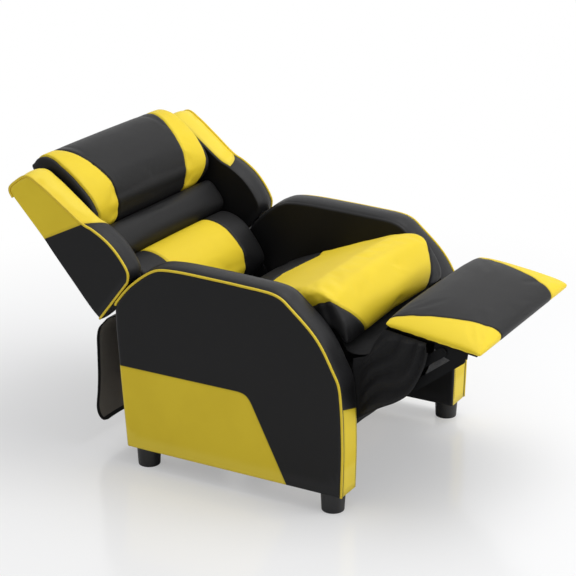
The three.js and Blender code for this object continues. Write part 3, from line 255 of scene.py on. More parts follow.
def leather(name, panel=None):
    """Pebbled upholstery leather: black, and yellow where the panel's distance is above 0."""
    r = Recipe(name)
    edge = r.worked_out("panel") if panel is None else panel(r)
    seam = r.worked_out("seam") if panel is None else abs(edge)
    crest = r.worked_out("crest")
    pebbles = r.cells(620)
    pores = r.cells(1500, "DISTANCE_TO_EDGE")
    drift = r.cloud(7, 3)
    fine = r.cloud(160, 3, 0.6)
    bright = (edge / 0.5 + 0.5).clamped()
    # On the crests the colour turns lighter: wear, and a painted highlight
    black = r.mix(r.ease(crest, 0.25, 1.0), r.mix(drift, BLACK, BLACK_DUSTY), BLACK_WORN_AND_SHEEN)
    yellow = r.mix(r.ease(drift, 0.35, 0.65), YELLOW_DEEP, YELLOW)
    yellow = r.mix(0.75, yellow, YELLOW)
    yellow = r.mix(r.ease(crest, 0.3, 1.0) * 0.6, yellow, YELLOW_PALE)
    colour = r.mix(bright, black, yellow)
    # Painted shade darkens the gap at each seam
    gap_shade = seam.near_zero(SEAM_GAP_SHADE_REACH) * 0.85
    # Dirt and painted shade darken the leather beside the seams
    soil_and_shade = seam.near_zero(SEAM_SOIL_AND_SHADE_REACH) * 0.22
    colour = r.mix(gap_shade, r.mix(soil_and_shade, colour, SEAM_SOIL_AND_SHADE), SEAM_GAP_SHADE)
    groove = r.relief(1 - seam.near_zero(SEAM_GROOVE_REACH), SEAM_GROOVE_DEPTH)
    grain = r.relief(pebbles * 0.75 + pores * 1.2, PEBBLE_DEPTH, 0.55, groove)
    creases = r.relief(r.cloud(22, 4, 0.55), CREASE_DEPTH, 0.25, grain)
    rough = 0.40 + fine * 0.10 + drift * 0.06 - crest * 0.06 + bright * 0.02
    return r.finish(Base_Color=colour, Roughness=rough, Normal=creases, Specular_IOR_Level=0.2)


# The yellow side panel of an arm: its top edge, the upper corner of its slanted edge and that edge's way
PANEL_TOP = 263
PANEL_FOOT = 40
PANEL_CORNER = 262
PANEL_SLANT = (0.8925, 0.4511)
PANEL_ROUND = 34.0
PANEL_INNER = 341.5
# The yellow front panel of an arm, its top edge falling inwards from its middle
FRONT_PANEL = (275.5, 340.5)
FRONT_PANEL_DEPTH = 100
FRONT_PANEL_MIDDLE = 310
FRONT_PANEL_FALL = 0.26


def side_places(r):
    """The distance from the middle, and the side place, in millimetres."""
    x, y, z = r.parts(r.place())
    return abs(x) * 1000, y * 1000 + MIDDLE, z * 1000


def arm_edges(r):
    """Distance in millimetres into the yellow lower panels of an arm."""
    x, y, z = side_places(r)
    below_top = PANEL_TOP - z
    slant = (y - PANEL_CORNER) * PANEL_SLANT[0] - (z - PANEL_TOP) * PANEL_SLANT[1]
    blend = below_top.math("SMOOTH_MIN", slant)
    blend.socket.node.inputs[2].default_value = PANEL_ROUND
    side = blend.least(x - PANEL_INNER).least(z - PANEL_FOOT)
    front = (below_top + (x - FRONT_PANEL_MIDDLE) * FRONT_PANEL_FALL).least(FRONT_PANEL_DEPTH - y)
    front = front.least(x - FRONT_PANEL[0]).least(FRONT_PANEL[1] - x)
    return side.most(front)


# The lower edge of a wing's yellow panel starts this far ahead of the hinge and above it, and rises rearwards
WING_PANEL_START = (124.4, 278)
WING_PANEL_SLOPE = 0.449
WING_PANEL_LEAN = 0.912
WING_PANEL_INNER = 287.5
WING_OUTER = 352
WING_PANEL_DROP = 0.4


def wing_edges(r):
    """Distance in millimetres into the yellow upper panel of a wing."""
    x, y, z = side_places(r)
    y, z = y - HINGE[0], z - HINGE[1]
    across = y * BACK.cos + z * BACK.sin
    height = z * BACK.cos - y * BACK.sin
    inwards = (WING_OUTER - x).most(0.0) * WING_PANEL_DROP
    line = height + inwards - WING_PANEL_START[1] - (across + WING_PANEL_START[0]) * WING_PANEL_SLOPE
    return (line * WING_PANEL_LEAN).least(x - WING_PANEL_INNER)


def piping_leather():
    r = Recipe("piping leather")
    grain = r.relief(r.cells(900), 0.00016, 0.5)
    drift = r.cloud(60, 3)
    return r.finish(Base_Color=r.mix(drift, YELLOW_DEEP, YELLOW), Roughness=0.38 + drift * 0.12,
                    Normal=grain, Specular_IOR_Level=0.4)


def thread(name, colour):
    r = Recipe(name)
    twist = r.bands("DIAGONAL", r.place(), 700.0, 1.0)
    return r.finish(Base_Color=r.mix(twist * 0.4, colour, dimmed(colour, 0.5)), Roughness=0.62,
                    Normal=r.relief(twist, 0.0002, 0.6), Specular_IOR_Level=0.3)


def moulded_plastic():
    r = Recipe("moulded plastic")
    spark = r.cells(1100)
    scuff = r.ease(r.cloud(34, 4, 0.7), 0.58, 0.75)
    return r.finish(Base_Color=r.mix(scuff * 0.5, (0.010, 0.010, 0.011), (0.035, 0.035, 0.037)),
                    Roughness=0.36 + scuff * 0.2 + r.cloud(90) * 0.06,
                    Normal=r.relief(spark, 0.0001, 0.5), Specular_IOR_Level=0.45)


WEAVE_TURNS = 6283.0


def woven(name, base, thread_colour):
    """Plain weave of one thread a millimetre, on the piece's own cloth map."""
    r = Recipe(name)
    u, v, _ = r.parts(r.weave_place())
    warp = (u * WEAVE_TURNS).math("SINE")
    weft = (v * WEAVE_TURNS).math("SINE")
    over = warp * weft
    slub = r.cloud(55, 4, 0.6)
    wear = r.ease(r.cloud(12, 3), 0.4, 0.7)
    colour = r.mix(r.ease(over, -0.4, 0.8) * 0.6 + slub * 0.3, base, thread_colour)
    height = r.relief(over, 0.0003, 0.4)
    return r.finish(Base_Color=r.mix(wear * 0.3, colour, dimmed(base, 1.7)),
                    Roughness=0.85 - slub * 0.12, Normal=r.relief(r.cloud(38, 4), 0.002, 0.35, height),
                    Specular_IOR_Level=0.22)


HEM_WIDTH = 9.0


def lining(name, base, hem):
    """Pressed fibre cloth with a bound hem."""
    r = Recipe(name)
    fibres = r.cloud(900, 4, 0.8)
    dimples = r.cells(420)
    blotch = r.cloud(26, 3)
    inside = r.ease(r.worked_out("hem"), HEM_WIDTH, HEM_WIDTH + 1.0)
    cloth = r.mix(r.ease(dimples, 0.0, 0.5) * 0.5 + blotch * 0.3, base, dimmed(base, 0.6))
    return r.finish(Base_Color=r.mix(inside, hem, cloth), Roughness=0.86 + fibres * 0.1,
                    Normal=r.relief(dimples + fibres * 0.4, 0.0005, 0.5), Specular_IOR_Level=0.2)


def plywood():
    r = Recipe("frame plywood")
    rings = r.bands("X", r.stretched((9.0, 1.4, 3.0)), 5.0, 7.0, 3.0)
    fleck = r.cloud(240, 3, 0.7)
    woods = [(0.0, (0.44, 0.27, 0.13)), (0.55, (0.60, 0.41, 0.22)), (1.0, (0.69, 0.50, 0.29))]
    return r.finish(Base_Color=r.ramp(rings * 0.7 + fleck * 0.3, woods), Roughness=0.62 + fleck * 0.2,
                    Normal=r.relief(rings * 0.5 + fleck, 0.0004, 0.5))


def painted_steel():
    r = Recipe("painted steel")
    peel = r.cells(260, "SMOOTH_F1")
    chips = r.ease(r.cloud(75, 5, 0.75), 0.74, 0.77)
    return r.finish(Base_Color=r.mix(chips, (0.0065, 0.0067, 0.0075), (0.20, 0.19, 0.18)),
                    Metallic=chips * 0.9, Roughness=0.56 + r.cloud(30, 3) * 0.18,
                    Normal=r.relief(peel, 0.0003, 0.35), Specular_IOR_Level=0.12)


def glued_cloth():
    """Thin black fibre cloth, glued over the frames' wood."""
    r = Recipe("frame cloth")
    fibres = r.cloud(800, 4, 0.8)
    dots = r.cells(360)
    return r.finish(Base_Color=r.mix(fibres, (0.006, 0.006, 0.006), (0.012, 0.012, 0.012)),
                    Roughness=0.86 + fibres * 0.1, Normal=r.relief(dots + fibres * 0.4, 0.0004, 0.5),
                    Specular_IOR_Level=0.15)


def zinc_steel():
    r = Recipe("zinc steel")
    spangle = r.cells(160)
    rub = r.cloud(420, 3, 0.7, r.stretched((0.2, 1.0, 1.0)))
    return r.finish(Base_Color=r.mix(spangle, (0.50, 0.50, 0.49), (0.62, 0.62, 0.60)), Metallic=1.0,
                    Roughness=0.28 + rub * 0.24, Normal=r.relief(rub, 0.0001, 0.4))


def webbing_band():
    r = Recipe("elastic webbing")
    x, _, z = r.parts(r.place())
    ribs = (x * 2100).math("SINE")
    picks = (z * 3100).math("SINE")
    colour = r.mix(r.ease(ribs * picks, -0.3, 0.6), (0.018, 0.016, 0.014), (0.05, 0.045, 0.04))
    return r.finish(Base_Color=colour, Roughness=0.88 + r.cloud(80) * 0.08,
                    Normal=r.relief(ribs * 0.5 + picks * 0.3, 0.0004, 0.5))


CUSHION_LEATHER = leather("cushion leather")
ARM_LEATHER = leather("arm leather", arm_edges)
WING_LEATHER = leather("wing leather", wing_edges)
PIPING = piping_leather()
BLACK_THREAD = thread("black thread", (0.022, 0.022, 0.023))
YELLOW_THREAD = thread("yellow thread", (0.62, 0.46, 0.03))
PLASTIC = moulded_plastic()
SKIRT_CLOTH = woven("skirt cloth", (0.0065, 0.0065, 0.007), (0.016, 0.016, 0.017))
FLAP_CLOTH = lining("flap lining", (0.22, 0.205, 0.18), (0.010, 0.010, 0.010))
PLYWOOD = plywood()
PAINTED = painted_steel()
GLUED_CLOTH = glued_cloth()
ZINC = zinc_steel()
WEBBING = webbing_band()


# Making pieces

def linked(name, data):
    """An object in the scene."""
    body = bpy.data.objects.new(name, data)
    bpy.context.scene.collection.objects.link(body)
    return body


def piece(name, places, faces, material):
    mesh = bpy.data.meshes.new(name)
    mesh.from_pydata([tuple(place) for place in places], [], faces)
    mesh.materials.append(material)
    return linked(name, mesh)


def smooth(body):
    for polygon in body.data.polygons:
        polygon.use_smooth = True


def settled(body):
    """Merges doubled corners, turns the faces outwards and shades them smooth."""
    shape = bmesh.new()
    shape.from_mesh(body.data)
    bmesh.ops.remove_doubles(shape, verts=shape.verts, dist=1e-6)
    bmesh.ops.recalc_face_normals(shape, faces=shape.faces)
    for face in shape.faces:
        face.smooth = True
    shape.to_mesh(body.data)
    shape.free()
    return body


def baked(body):
    """Puts what the modifiers make into the mesh, and takes the modifiers off."""
    shape = bpy.data.meshes.new_from_object(body.evaluated_get(bpy.context.evaluated_depsgraph_get()))
    body.modifiers.clear()
    body.data = shape
    return body


def places_of(body):
    flat = np.empty(len(body.data.vertices) * 3)
    body.data.vertices.foreach_get("co", flat)
    return flat.reshape(-1, 3)


def put(body, places):
    body.data.vertices.foreach_set("co", places.astype(np.float32).ravel())
    body.data.update()


def normals_of(body):
    flat = np.empty(len(body.data.vertices) * 3, np.float32)
    body.data.vertex_normals.foreach_get("vector", flat)
    return flat.reshape(-1, 3).astype(float)


def neighbour_mean(body, places):
    pairs = np.empty(len(body.data.edges) * 2, np.int32)
    body.data.edges.foreach_get("vertices", pairs)
    first, second = pairs.reshape(-1, 2).T
    size = len(places)
    count = np.bincount(first, minlength=size) + np.bincount(second, minlength=size)
    total = np.stack([np.bincount(first, column[second], size) + np.bincount(second, column[first], size)
                      for column in places.T], axis=1)
    return total / np.maximum(count, 1)[:, None]


def eased(body, rounds):
    places = places_of(body)
    for _ in range(rounds):
        places += 0.5 * (neighbour_mean(body, places) - places)
    put(body, places)


def write(body, name, values):
    held = body.data.attributes.get(name) or body.data.attributes.new(name, "FLOAT", "POINT")
    held.data.foreach_set("value", np.asarray(values, np.float32))


CREST_HEIGHT = 0.0002


def worn_and_sheen(body):
    """Writes how much each point stands out, for wear and a painted highlight on the crests."""
    places = places_of(body)
    out = -((neighbour_mean(body, places) - places) * normals_of(body)).sum(axis=1)
    for _ in range(3):
        out = 0.5 * out + 0.5 * neighbour_mean(body, out[:, None])[:, 0]
    write(body, "crest", np.clip(out / CREST_HEIGHT, 0, 1))


def edge_distance(u, v, line):
    """Distance from a line of points in a plane, above 0 on its left."""
    best = np.full(len(u), 1e9)
    signed = np.full(len(u), 1e9)
    for (u0, v0), (u1, v1) in zip(line, line[1:]):
        du, dv = u1 - u0, v1 - v0
        share = np.clip(((u - u0) * du + (v - v0) * dv) / (du * du + dv * dv), 0, 1)
        away = np.hypot(u - u0 - share * du, v - v0 - share * dv)
        side = np.sign(du * (v - v0) - dv * (u - u0) + 1e-9)
        closer = away < best - 1e-6
        best[closer] = away[closer]
        signed[closer] = (side * away)[closer]
    return signed


def run_through(points, steps):
    """An even-handed smooth run through side points, the spans kept from overshooting."""
    points = [np.array(point, float) for point in points]
    padded = [2 * points[0] - points[1], *points, 2 * points[-1] - points[-2]]
    run = []
    for a, b, c, d in zip(padded, padded[1:], padded[2:], padded[3:]):
        t0, t1, t2 = (max(math.sqrt(np.linalg.norm(q - p)), 1e-4) for p, q in ((a, b), (b, c), (c, d)))
        leave = ((b - a) / t0 - (c - a) / (t0 + t1) + (c - b) / t1) * t1
        reach = ((c - b) / t1 - (d - b) / (t1 + t2) + (d - c) / t2) * t1
        for k in range(steps):
            t = k / steps
            run.append(b + leave * t + (3 * (c - b) - 2 * leave - reach) * t ** 2
                       + (2 * (b - c) + leave + reach) * t ** 3)
    run.append(points[-1])
    return run


def outward_ways(run):
    """Outward directions of an open side outline that stands on its flat foot."""
    area = sum(p[0] * q[1] - q[0] * p[1] for p, q in zip(run, [*run[1:], run[0]]))
    turn = -1 if area > 0 else 1
    ways = []
    for i in range(len(run)):
        along = run[min(i + 1, len(run) - 1)] - run[max(i - 1, 0)]
        along = along / np.linalg.norm(along)
        ways.append(np.array([-along[1], along[0]]) * turn)
    foot = (run[0] - run[-1]) / np.linalg.norm(run[0] - run[-1])
    ways[0], ways[-1] = foot, -foot
    return ways


def ring_faces(count, sides):
    """The faces between closed rings of as many sides."""
    faces = []
    for low in range(0, (count - 1) * sides, sides):
        high = low + sides
        faces += [(low + k, low + (k + 1) % sides, high + (k + 1) % sides, high + k) for k in range(sides)]
    return faces


def closed(name, rings, material):
    """A closed body through rings of places, flat at its two ends."""
    sides = len(rings[0])
    last = (len(rings) - 1) * sides
    faces = ring_faces(len(rings), sides)
    faces.append(tuple(range(sides))[::-1])
    faces.append(tuple(range(last, last + sides)))
    return settled(piece(name, [place for ring in rings for place in ring], faces, material))


END_SHARES = (0.985, 0.95, 0.88, 0.75, 0.55, 0.3, 0.1)


def lofted(name, rings, material):
    """A closed body through rings of places, its two ends filled with shrinking rings."""
    ends = []
    for ring in (rings[0], rings[-1]):
        middle = sum(ring, Vector()) / len(ring)
        ends.append([[middle + (place - middle) * share for place in ring] for share in END_SHARES])
    return closed(name, [*ends[0][::-1], *rings, *ends[1]], material)


TUBE_SIDES = 12


def tube(name, path, radius, material):
    """A round cord along places, its ends closed."""
    rings = []
    side = Vector((1, 0, 0))
    turns = [2 * math.pi * k / TUBE_SIDES for k in range(TUBE_SIDES)]
    for i, place in enumerate(path):
        along = (path[min(i + 1, len(path) - 1)] - path[max(i - 1, 0)]).normalized()
        up = along.cross(side).normalized()
        over = up.cross(along).normalized()
        rings.append([place + (over * math.cos(turn) + up * math.sin(turn)) * radius for turn in turns])
    places = [place for ring in rings for place in ring] + [path[0], path[-1]]
    faces = ring_faces(len(rings), TUBE_SIDES)
    last = (len(rings) - 1) * TUBE_SIDES
    middle = last + TUBE_SIDES
    faces += [(middle, (k + 1) % TUBE_SIDES, k) for k in range(TUBE_SIDES)]
    faces += [(middle + 1, last + k, last + (k + 1) % TUBE_SIDES) for k in range(TUBE_SIDES)]
    return settled(piece(name, places, faces, material))


def sheeted(name, rows, material):
    """An open sheet through rows of places."""
    count = len(rows[0])
    faces = []
    for low in range(0, (len(rows) - 1) * count, count):
        faces += [(low + k, low + k + 1, low + count + k + 1, low + count + k) for k in range(count - 1)]
    return piece(name, [place for row in rows for place in row], faces, material)


def thickened(body, thickness):
    """Gives a sheet its thickness, half of it to each side."""
    smooth(body)
    thick = body.modifiers.new("cloth", "SOLIDIFY")
    thick.thickness = thickness
    thick.offset = 0.0
    baked(body)


def finer(body, levels, **settings):
    """Divides each face into smaller ones."""
    divided = body.modifiers.new("finer", "SUBSURF")
    divided.levels = divided.render_levels = levels
    for name, value in settings.items():
        setattr(divided, name, value)
    baked(body)
    settled(body)


def carried(body, by, slot, *nodes):
    """The piece moves with a body and stands for its solids. The slot is not used."""
    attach(body, by)
    if nodes:
        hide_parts(*nodes)
    return body


# Stitches

STITCH_SIZES = {"Pitch": 0.0055, "Stitch length": 0.0042, "Thread radius": 0.00045}


def stitch_tree():
    """Stitches spread along edges: stretched balls that point along the row."""
    tree = bpy.data.node_groups.new("stitch row", "GeometryNodeTree")
    link = tree.links.new
    face = tree.interface
    face.new_socket("Geometry", in_out="INPUT", socket_type="NodeSocketGeometry")
    for name, value in STITCH_SIZES.items():
        face.new_socket(name, in_out="INPUT", socket_type="NodeSocketFloat").default_value = value
    face.new_socket("Thread", in_out="INPUT", socket_type="NodeSocketMaterial")
    face.new_socket("Geometry", in_out="OUTPUT", socket_type="NodeSocketGeometry")
    given = tree.nodes.new("NodeGroupInput").outputs

    def step(kind, sources, values=None, **settings):
        """A node whose inputs come from other nodes' outputs or are set."""
        node = tree.nodes.new(kind)
        for name, value in settings.items():
            setattr(node, name, value)
        for name, value in (values or {}).items():
            node.inputs[name].default_value = value
        for name, source in sources.items():
            link(source, node.inputs[name])
        return node.outputs

    curve = step("GeometryNodeMeshToCurve", {0: given["Geometry"]})
    points = step("GeometryNodeCurveToPoints", {"Curve": curve[0], "Length": given["Pitch"]}, mode="LENGTH")
    ball = step("GeometryNodeMeshUVSphere", {}, {"Segments": 6, "Rings": 4, "Radius": 1.0})
    half = step("ShaderNodeMath", {0: given["Stitch length"]}, {1: 0.5}, operation="MULTIPLY")
    radius = given["Thread radius"]
    size = step("ShaderNodeCombineXYZ", {0: radius, 1: radius, 2: half[0]})
    stitch = step("GeometryNodeTransform", {"Geometry": ball["Mesh"], "Scale": size[0]})
    turn = step("FunctionNodeAlignRotationToVector", {"Vector": points["Tangent"]}, axis="Z")
    laid = {"Points": points["Points"], "Instance": stitch[0], "Rotation": turn[0]}
    row = step("GeometryNodeInstanceOnPoints", laid)
    real = step("GeometryNodeRealizeInstances", {0: row[0]})
    sewn = step("GeometryNodeSetMaterial", {"Geometry": real[0], "Material": given["Thread"]})
    link(sewn[0], tree.nodes.new("NodeGroupOutput").inputs[0])
    return tree


STITCH_ROW = stitch_tree()


def stitched(name, lines, material):
    """Rows of stitches along lines of places."""
    places = [place for line in lines for place in line]
    edges = []
    start = 0
    for line in lines:
        edges += [(start + i, start + i + 1) for i in range(len(line) - 1)]
        start += len(line)
    mesh = bpy.data.meshes.new(name)
    mesh.from_pydata([tuple(place) for place in places], edges, [])
    body = linked(name, mesh)
    maker = body.modifiers.new("stitches", "NODES")
    maker.node_group = STITCH_ROW
    for item in STITCH_ROW.interface.items_tree:
        if item.name == "Thread":
            maker[item.identifier] = material
    baked(body)
    smooth(body)
    return body


SEWN = {}
STITCH_LIFT = 0.0002
SHORTEST_ROW = 4


def sew(body_name, colour, tree, starts, way):
    """Keeps a row of stitches, found by dropping the starts onto the finished mesh."""
    rows = [[]]
    for start in starts:
        place, normal, _, _ = tree.ray_cast(start, way)
        if place is None:
            rows.append([])
        else:
            rows[-1].append(place + normal * STITCH_LIFT)
    SEWN.setdefault((body_name, colour), []).extend(row for row in rows if len(row) >= SHORTEST_ROW)


def skin(body):
    return BVHTree.FromPolygons([v.co for v in body.data.vertices], [p.vertices for p in body.data.polygons])


# Stuffed pads

def lipped(mesh, datum, lips):
    """Adds boxes to a mesh, each given by its reach in x, y and z."""
    shape = bmesh.new()
    shape.from_mesh(mesh)
    for lip in lips:
        for corner in bmesh.ops.create_cube(shape, size=1.0)["verts"]:
            own = [low + (high - low) * (share + 0.5) for (low, high), share in zip(lip, corner.co)]
            corner.co = datum.place(*own)
    shape.to_mesh(mesh)
    shape.free()


def stuffed(name, node, datum, rest, half, tighten, cap, voxel=0.005, force=4.0, softening=6, lips=()):
    """A pad blown up from a slightly smaller copy of its solid, held where rest says it is fixed."""
    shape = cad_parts[node].data.copy()
    if lips:
        lipped(shape, datum, lips)
    body = linked(name, shape)
    shape.materials.clear()
    shape.materials.append(CUSHION_LEATHER)
    settled(body)
    remesh = body.modifiers.new("even mesh", "REMESH")
    remesh.mode = "VOXEL"
    remesh.voxel_size = voxel
    baked(body)
    eased(body, softening)
    places = places_of(body)
    fixed = rest(datum.own(places))
    places -= normals_of(body) * (tighten * MM * ~fixed)[:, None]
    put(body, places)
    eased(body, 2)
    inflate(body, fixed, cap, force)
    eased(body, 3)
    limit = half * MM
    places = places_of(body)
    places[:, 0] = np.clip(places[:, 0], -limit, limit)
    put(body, places)
    finer(body, 1)
    return body


LEATHER_CLOTH = {
    "quality": 7, "mass": 0.3, "tension_stiffness": 38, "compression_stiffness": 30, "shear_stiffness": 18,
    "bending_stiffness": 5, "use_pressure": True,
}
LAST_STEP = 20


def inflate(body, fixed, cap, force):
    """Blows the leather up from inside, no point moving further than the cap."""
    before = places_of(body)
    held = body.vertex_groups.new(name="held")
    held.add([int(i) for i in np.nonzero(fixed)[0]], 1.0, "REPLACE")
    cloth = body.modifiers.new("stuffing", "CLOTH")
    for name, value in LEATHER_CLOTH.items():
        setattr(cloth.settings, name, value)
    cloth.settings.uniform_pressure_force = force
    cloth.settings.effector_weights.gravity = 0
    cloth.settings.vertex_group_mass = "held"
    cloth.collision_settings.use_collision = False
    cloth.point_cache.frame_start = 1
    cloth.point_cache.frame_end = LAST_STEP
    for step in range(1, LAST_STEP + 1):
        bpy.context.scene.frame_set(step)
    baked(body)
    bpy.context.scene.frame_set(1)
    after = places_of(body)
    moved = after - before
    far = np.linalg.norm(moved, axis=1)
    put(body, before + moved * np.minimum(1, cap * MM / np.maximum(far, 1e-9))[:, None])


PUCKER_REACH = 22


def tailored(body, datum, panel, seams=(), depth=2.6, width=4.0, pucker=0.5):
    """Draws the seams in, puckers the leather beside them and writes the panel distances."""
    places = places_of(body)
    own = datum.own(places)
    edge = panel(own)
    nearest = np.abs(edge)
    for seam in seams:
        nearest = np.minimum(nearest, np.abs(seam(own)))
    ruffle = np.array([noise.noise(Vector(p) * 55) + 0.5 * noise.noise(Vector(p) * 120) for p in places])
    push = -depth * np.exp(-(nearest / width) ** 2) + pucker * ruffle * np.exp(-nearest / PUCKER_REACH)
    put(body, places + normals_of(body) * (push * MM)[:, None])
    write(body, "panel", edge)
    write(body, "seam", nearest)
    worn_and_sheen(body)


def all_black(own):
    """A panel distance that is far outside any yellow panel."""
    return np.full(len(own), -200.0)


# The seat

SEAT_FRONT_LINE = [(130, -190), (165, -145), (200, -104), (224, -75), (251, -46), (272, -18), (310, 30)]
SEAT_REAR_LINE = [(-400, -228), (-215, -230), (-150, -262), (0, -234), (150, -262), (215, -230), (400, -228)]


def seat_panel(own):
    x, y, z = np.abs(own[:, 0]), own[:, 1], own[:, 2]
    front = edge_distance(x, z, SEAT_FRONT_LINE)
    rear = -edge_distance(own[:, 0], y, SEAT_REAR_LINE)
    return np.minimum(front, rear)


# The front roll, in the seat's own frame
ROLL_START = -470.0
ROLL_FRONT = -552.0
ROLL_DEPTH_SHARE = 0.82
ROLL_FOOT = -90.0
ROLL_FOOT_SHARE = 0.35
ROLL_DROP_SHARE = 1.2
ROLL_BROW = (-514.0, -22.0)
ROLL_BROW_REACH = 38.0
ROLL_BROW_RISE = 8.0
ROLL_BROW_WAY = (0.8, 0.6)
# The shallow dip behind the roll
SADDLE = -415.0
SADDLE_REACH = 55.0
SADDLE_DIP = 2.5
SADDLE_FOOT = -30


def rolled(body):
    """Sets the front roll: a flatter, deeper front below a squarer brow."""
    places = places_of(body)
    own = SEAT.own(places)
    y, z = own[:, 1], own[:, 2]
    ahead = np.minimum(y - ROLL_START, 0)
    within = np.clip(ahead / (ROLL_FRONT - ROLL_START), 0, ROLL_FOOT_SHARE)
    below = np.minimum(z - ROLL_FOOT, 0) * within / ROLL_FOOT_SHARE
    from_brow = (y - ROLL_BROW[0]) ** 2 + (z - ROLL_BROW[1]) ** 2
    brow = ROLL_BROW_RISE * np.exp(-from_brow / ROLL_BROW_REACH ** 2)
    saddle = SADDLE_DIP * np.exp(-((y - SADDLE) / SADDLE_REACH) ** 2) * (z > SADDLE_FOOT)
    rearward = -ahead * (1 - ROLL_DEPTH_SHARE) - brow * ROLL_BROW_WAY[0]
    upward = below * (ROLL_DROP_SHARE - 1) + brow * ROLL_BROW_WAY[1] - saddle
    put(body, places + np.outer(rearward, SEAT.way(0, 1, 0)) * MM + np.outer(upward, SEAT.way(0, 0, 1)) * MM)
    settled(body)


SEAT_HALF = 267.6
SEAT_UNDERSIDE = -86
SEAT_HELD_FROM = -500


def seat_held(own):
    """True on the underside that rests on the seat's frame."""
    return (own[:, 2] < SEAT_UNDERSIDE) & (own[:, 1] > SEAT_HELD_FROM)


seat_top = stuffed("seat_top", "seat_cushion", SEAT, seat_held, SEAT_HALF, 6.0, 9.0, voxel=0.006)
rolled(seat_top)
tailored(seat_top, SEAT, seat_panel)
carried(seat_top, "seat", "yellow_leather", "seat_cushion")
surface = skin(seat_top)
SEAM_ALLOWANCE = 5.0
# Rows of stitches are dropped onto a pad from outside it
ABOVE_SEAT = 60
AHEAD_OF_SEAT = -640
line = run_through([(x, y + SEAM_ALLOWANCE) for x, y in SEAT_REAR_LINE[1:-1]], 40)
sew("seat", "black", surface, [SEAT.place(x, y, ABOVE_SEAT) for x, y in line], SEAT.way(0, 0, -1))
line = run_through(SEAT_FRONT_LINE[1:6], 16)
for _, side in HANDS:
    starts = [SEAT.place(side * x, AHEAD_OF_SEAT, z - SEAM_ALLOWANCE) for x, z in line]
    sew("seat", "black", surface, starts, SEAT.way(0, 1, 0))


# The footrest

# The yellow ends widen forwards: their seams' distance from the middle at the rear, slope and lean
FOOTREST_SEAM = 241.8
FOOTREST_SEAM_SLOPE = 0.367
FOOTREST_SEAM_LEAN = 0.939


def footrest_panel(own):
    x, y = np.abs(own[:, 0]), -own[:, 1]
    return (x - (FOOTREST_SEAM - FOOTREST_SEAM_SLOPE * y)) * FOOTREST_SEAM_LEAN


def footrest_held(own):
    """True near the board under the pad."""
    return own[:, 2] < FOOTREST_REST


FOOTREST_HALF = 268.5
FOOTREST_REST = 4
# The leather is drawn down over the board's front and sides
LIP_RISE = (-6.5, 3)
LIP_SIDE = (256, 265)
LIP_DEPTH = (-243.5, -6)
LIP_FRONT = (-243.5, -232.5)
FOOTREST_LIPS = [((-LIP_SIDE[1], LIP_SIDE[1]), LIP_FRONT, LIP_RISE), (LIP_SIDE, LIP_DEPTH, LIP_RISE),
                 ((-LIP_SIDE[1], -LIP_SIDE[0]), LIP_DEPTH, LIP_RISE)]
footrest_top = stuffed("footrest_top", "footrest_pad", FOOTREST, footrest_held, FOOTREST_HALF, 1.0, 3.0,
                       voxel=0.004, force=2.0, softening=2, lips=FOOTREST_LIPS)
MOUND_RISE = 6.0
MOUND_HALF = 268.0
MOUND_LENGTH = 245.8
MOUND_FULL_HEIGHT = 20.0


def mounded(body):
    """Raises the pad's top between its edges."""
    places = places_of(body)
    own = FOOTREST.own(places)
    across = 1 - np.clip(np.abs(own[:, 0]) / MOUND_HALF, 0, 1) ** 6
    along = np.sin(math.pi * np.clip(-own[:, 1] / MOUND_LENGTH, 0, 1)) ** 0.7
    rise = MOUND_RISE * across * along * np.clip(own[:, 2] / MOUND_FULL_HEIGHT, 0, 1)
    put(body, places + np.outer(rise, FOOTREST.way(0, 0, 1)) * MM)
    settled(body)


mounded(footrest_top)
tailored(footrest_top, FOOTREST, footrest_panel, depth=1.4, width=3.0, pucker=0.3)
carried(footrest_top, "footrest", "black_leather", "footrest_pad")
surface = skin(footrest_top)
FOOTREST_STITCHES = 237.8
ABOVE_FOOTREST = 90
# Where a row of stitches starts and ends, and how many places are tried on it
FOOTREST_ROW = (4, 241, 80)
for _, side in HANDS:
    starts = [FOOTREST.place(side * (FOOTREST_STITCHES - FOOTREST_SEAM_SLOPE * t), -t, ABOVE_FOOTREST)
              for t in np.linspace(*FOOTREST_ROW)]
    sew("footrest", "black", surface, starts, FOOTREST.way(0, 0, -1))


# The back pads

HEADREST_INNER = [(150, 240), (156, 280), (166, 351), (186, 425), (210, 493), (216, 520)]
HEADREST_OUTER = [(220, 240), (232, 262), (257, 305), (266, 370), (269, 440), (262, 500), (258, 520)]


def headrest_panel(own):
    x, z = np.abs(own[:, 0]), own[:, 2]
    return np.minimum(-edge_distance(x, z, HEADREST_INNER), edge_distance(x, z, HEADREST_OUTER))


# The back's rear face, in the back's own frame, and how far in front of it the pads lie
REAR_FACE = 59.6
REAR_FACE_SLOPE = 0.175
BACK_THICKNESS = 31.1
REST_MARGIN = 6


def rear_face(z):
    return REAR_FACE - REAR_FACE_SLOPE * z


def rear_held(own):
    """True near the flat rear of a back pad, where it lies on the webbing."""
    return own[:, 1] > rear_face(own[:, 2]) - BACK_THICKNESS - REST_MARGIN


AHEAD_OF_BACK = -260


def sew_back(colour, surface, line):
    """The same row of stitches on both sides of a back pad, from places in x and z."""
    for _, side in HANDS:
        starts = [BACK.place(side * x, AHEAD_OF_BACK, z) for x, z in line]
        sew("backrest", colour, surface, starts, BACK.way(0, 1, 0))


HEADREST_HALF = 278.5
BLACK_ROW_INSET = 4
YELLOW_ROW_INSET = 5
headrest = stuffed("headrest", "headrest_roll", BACK, rear_held, HEADREST_HALF, 4.0, 6.0)
tailored(headrest, BACK, headrest_panel, depth=3.2)
carried(headrest, "backrest", "black_leather", "headrest_roll")
surface = skin(headrest)
sew_back("black", surface, [(x - BLACK_ROW_INSET, z) for x, z in run_through(HEADREST_INNER[1:5], 24)])
sew_back("yellow", surface, [(x - YELLOW_ROW_INSET, z) for x, z in run_through(HEADREST_OUTER[2:6], 24)])

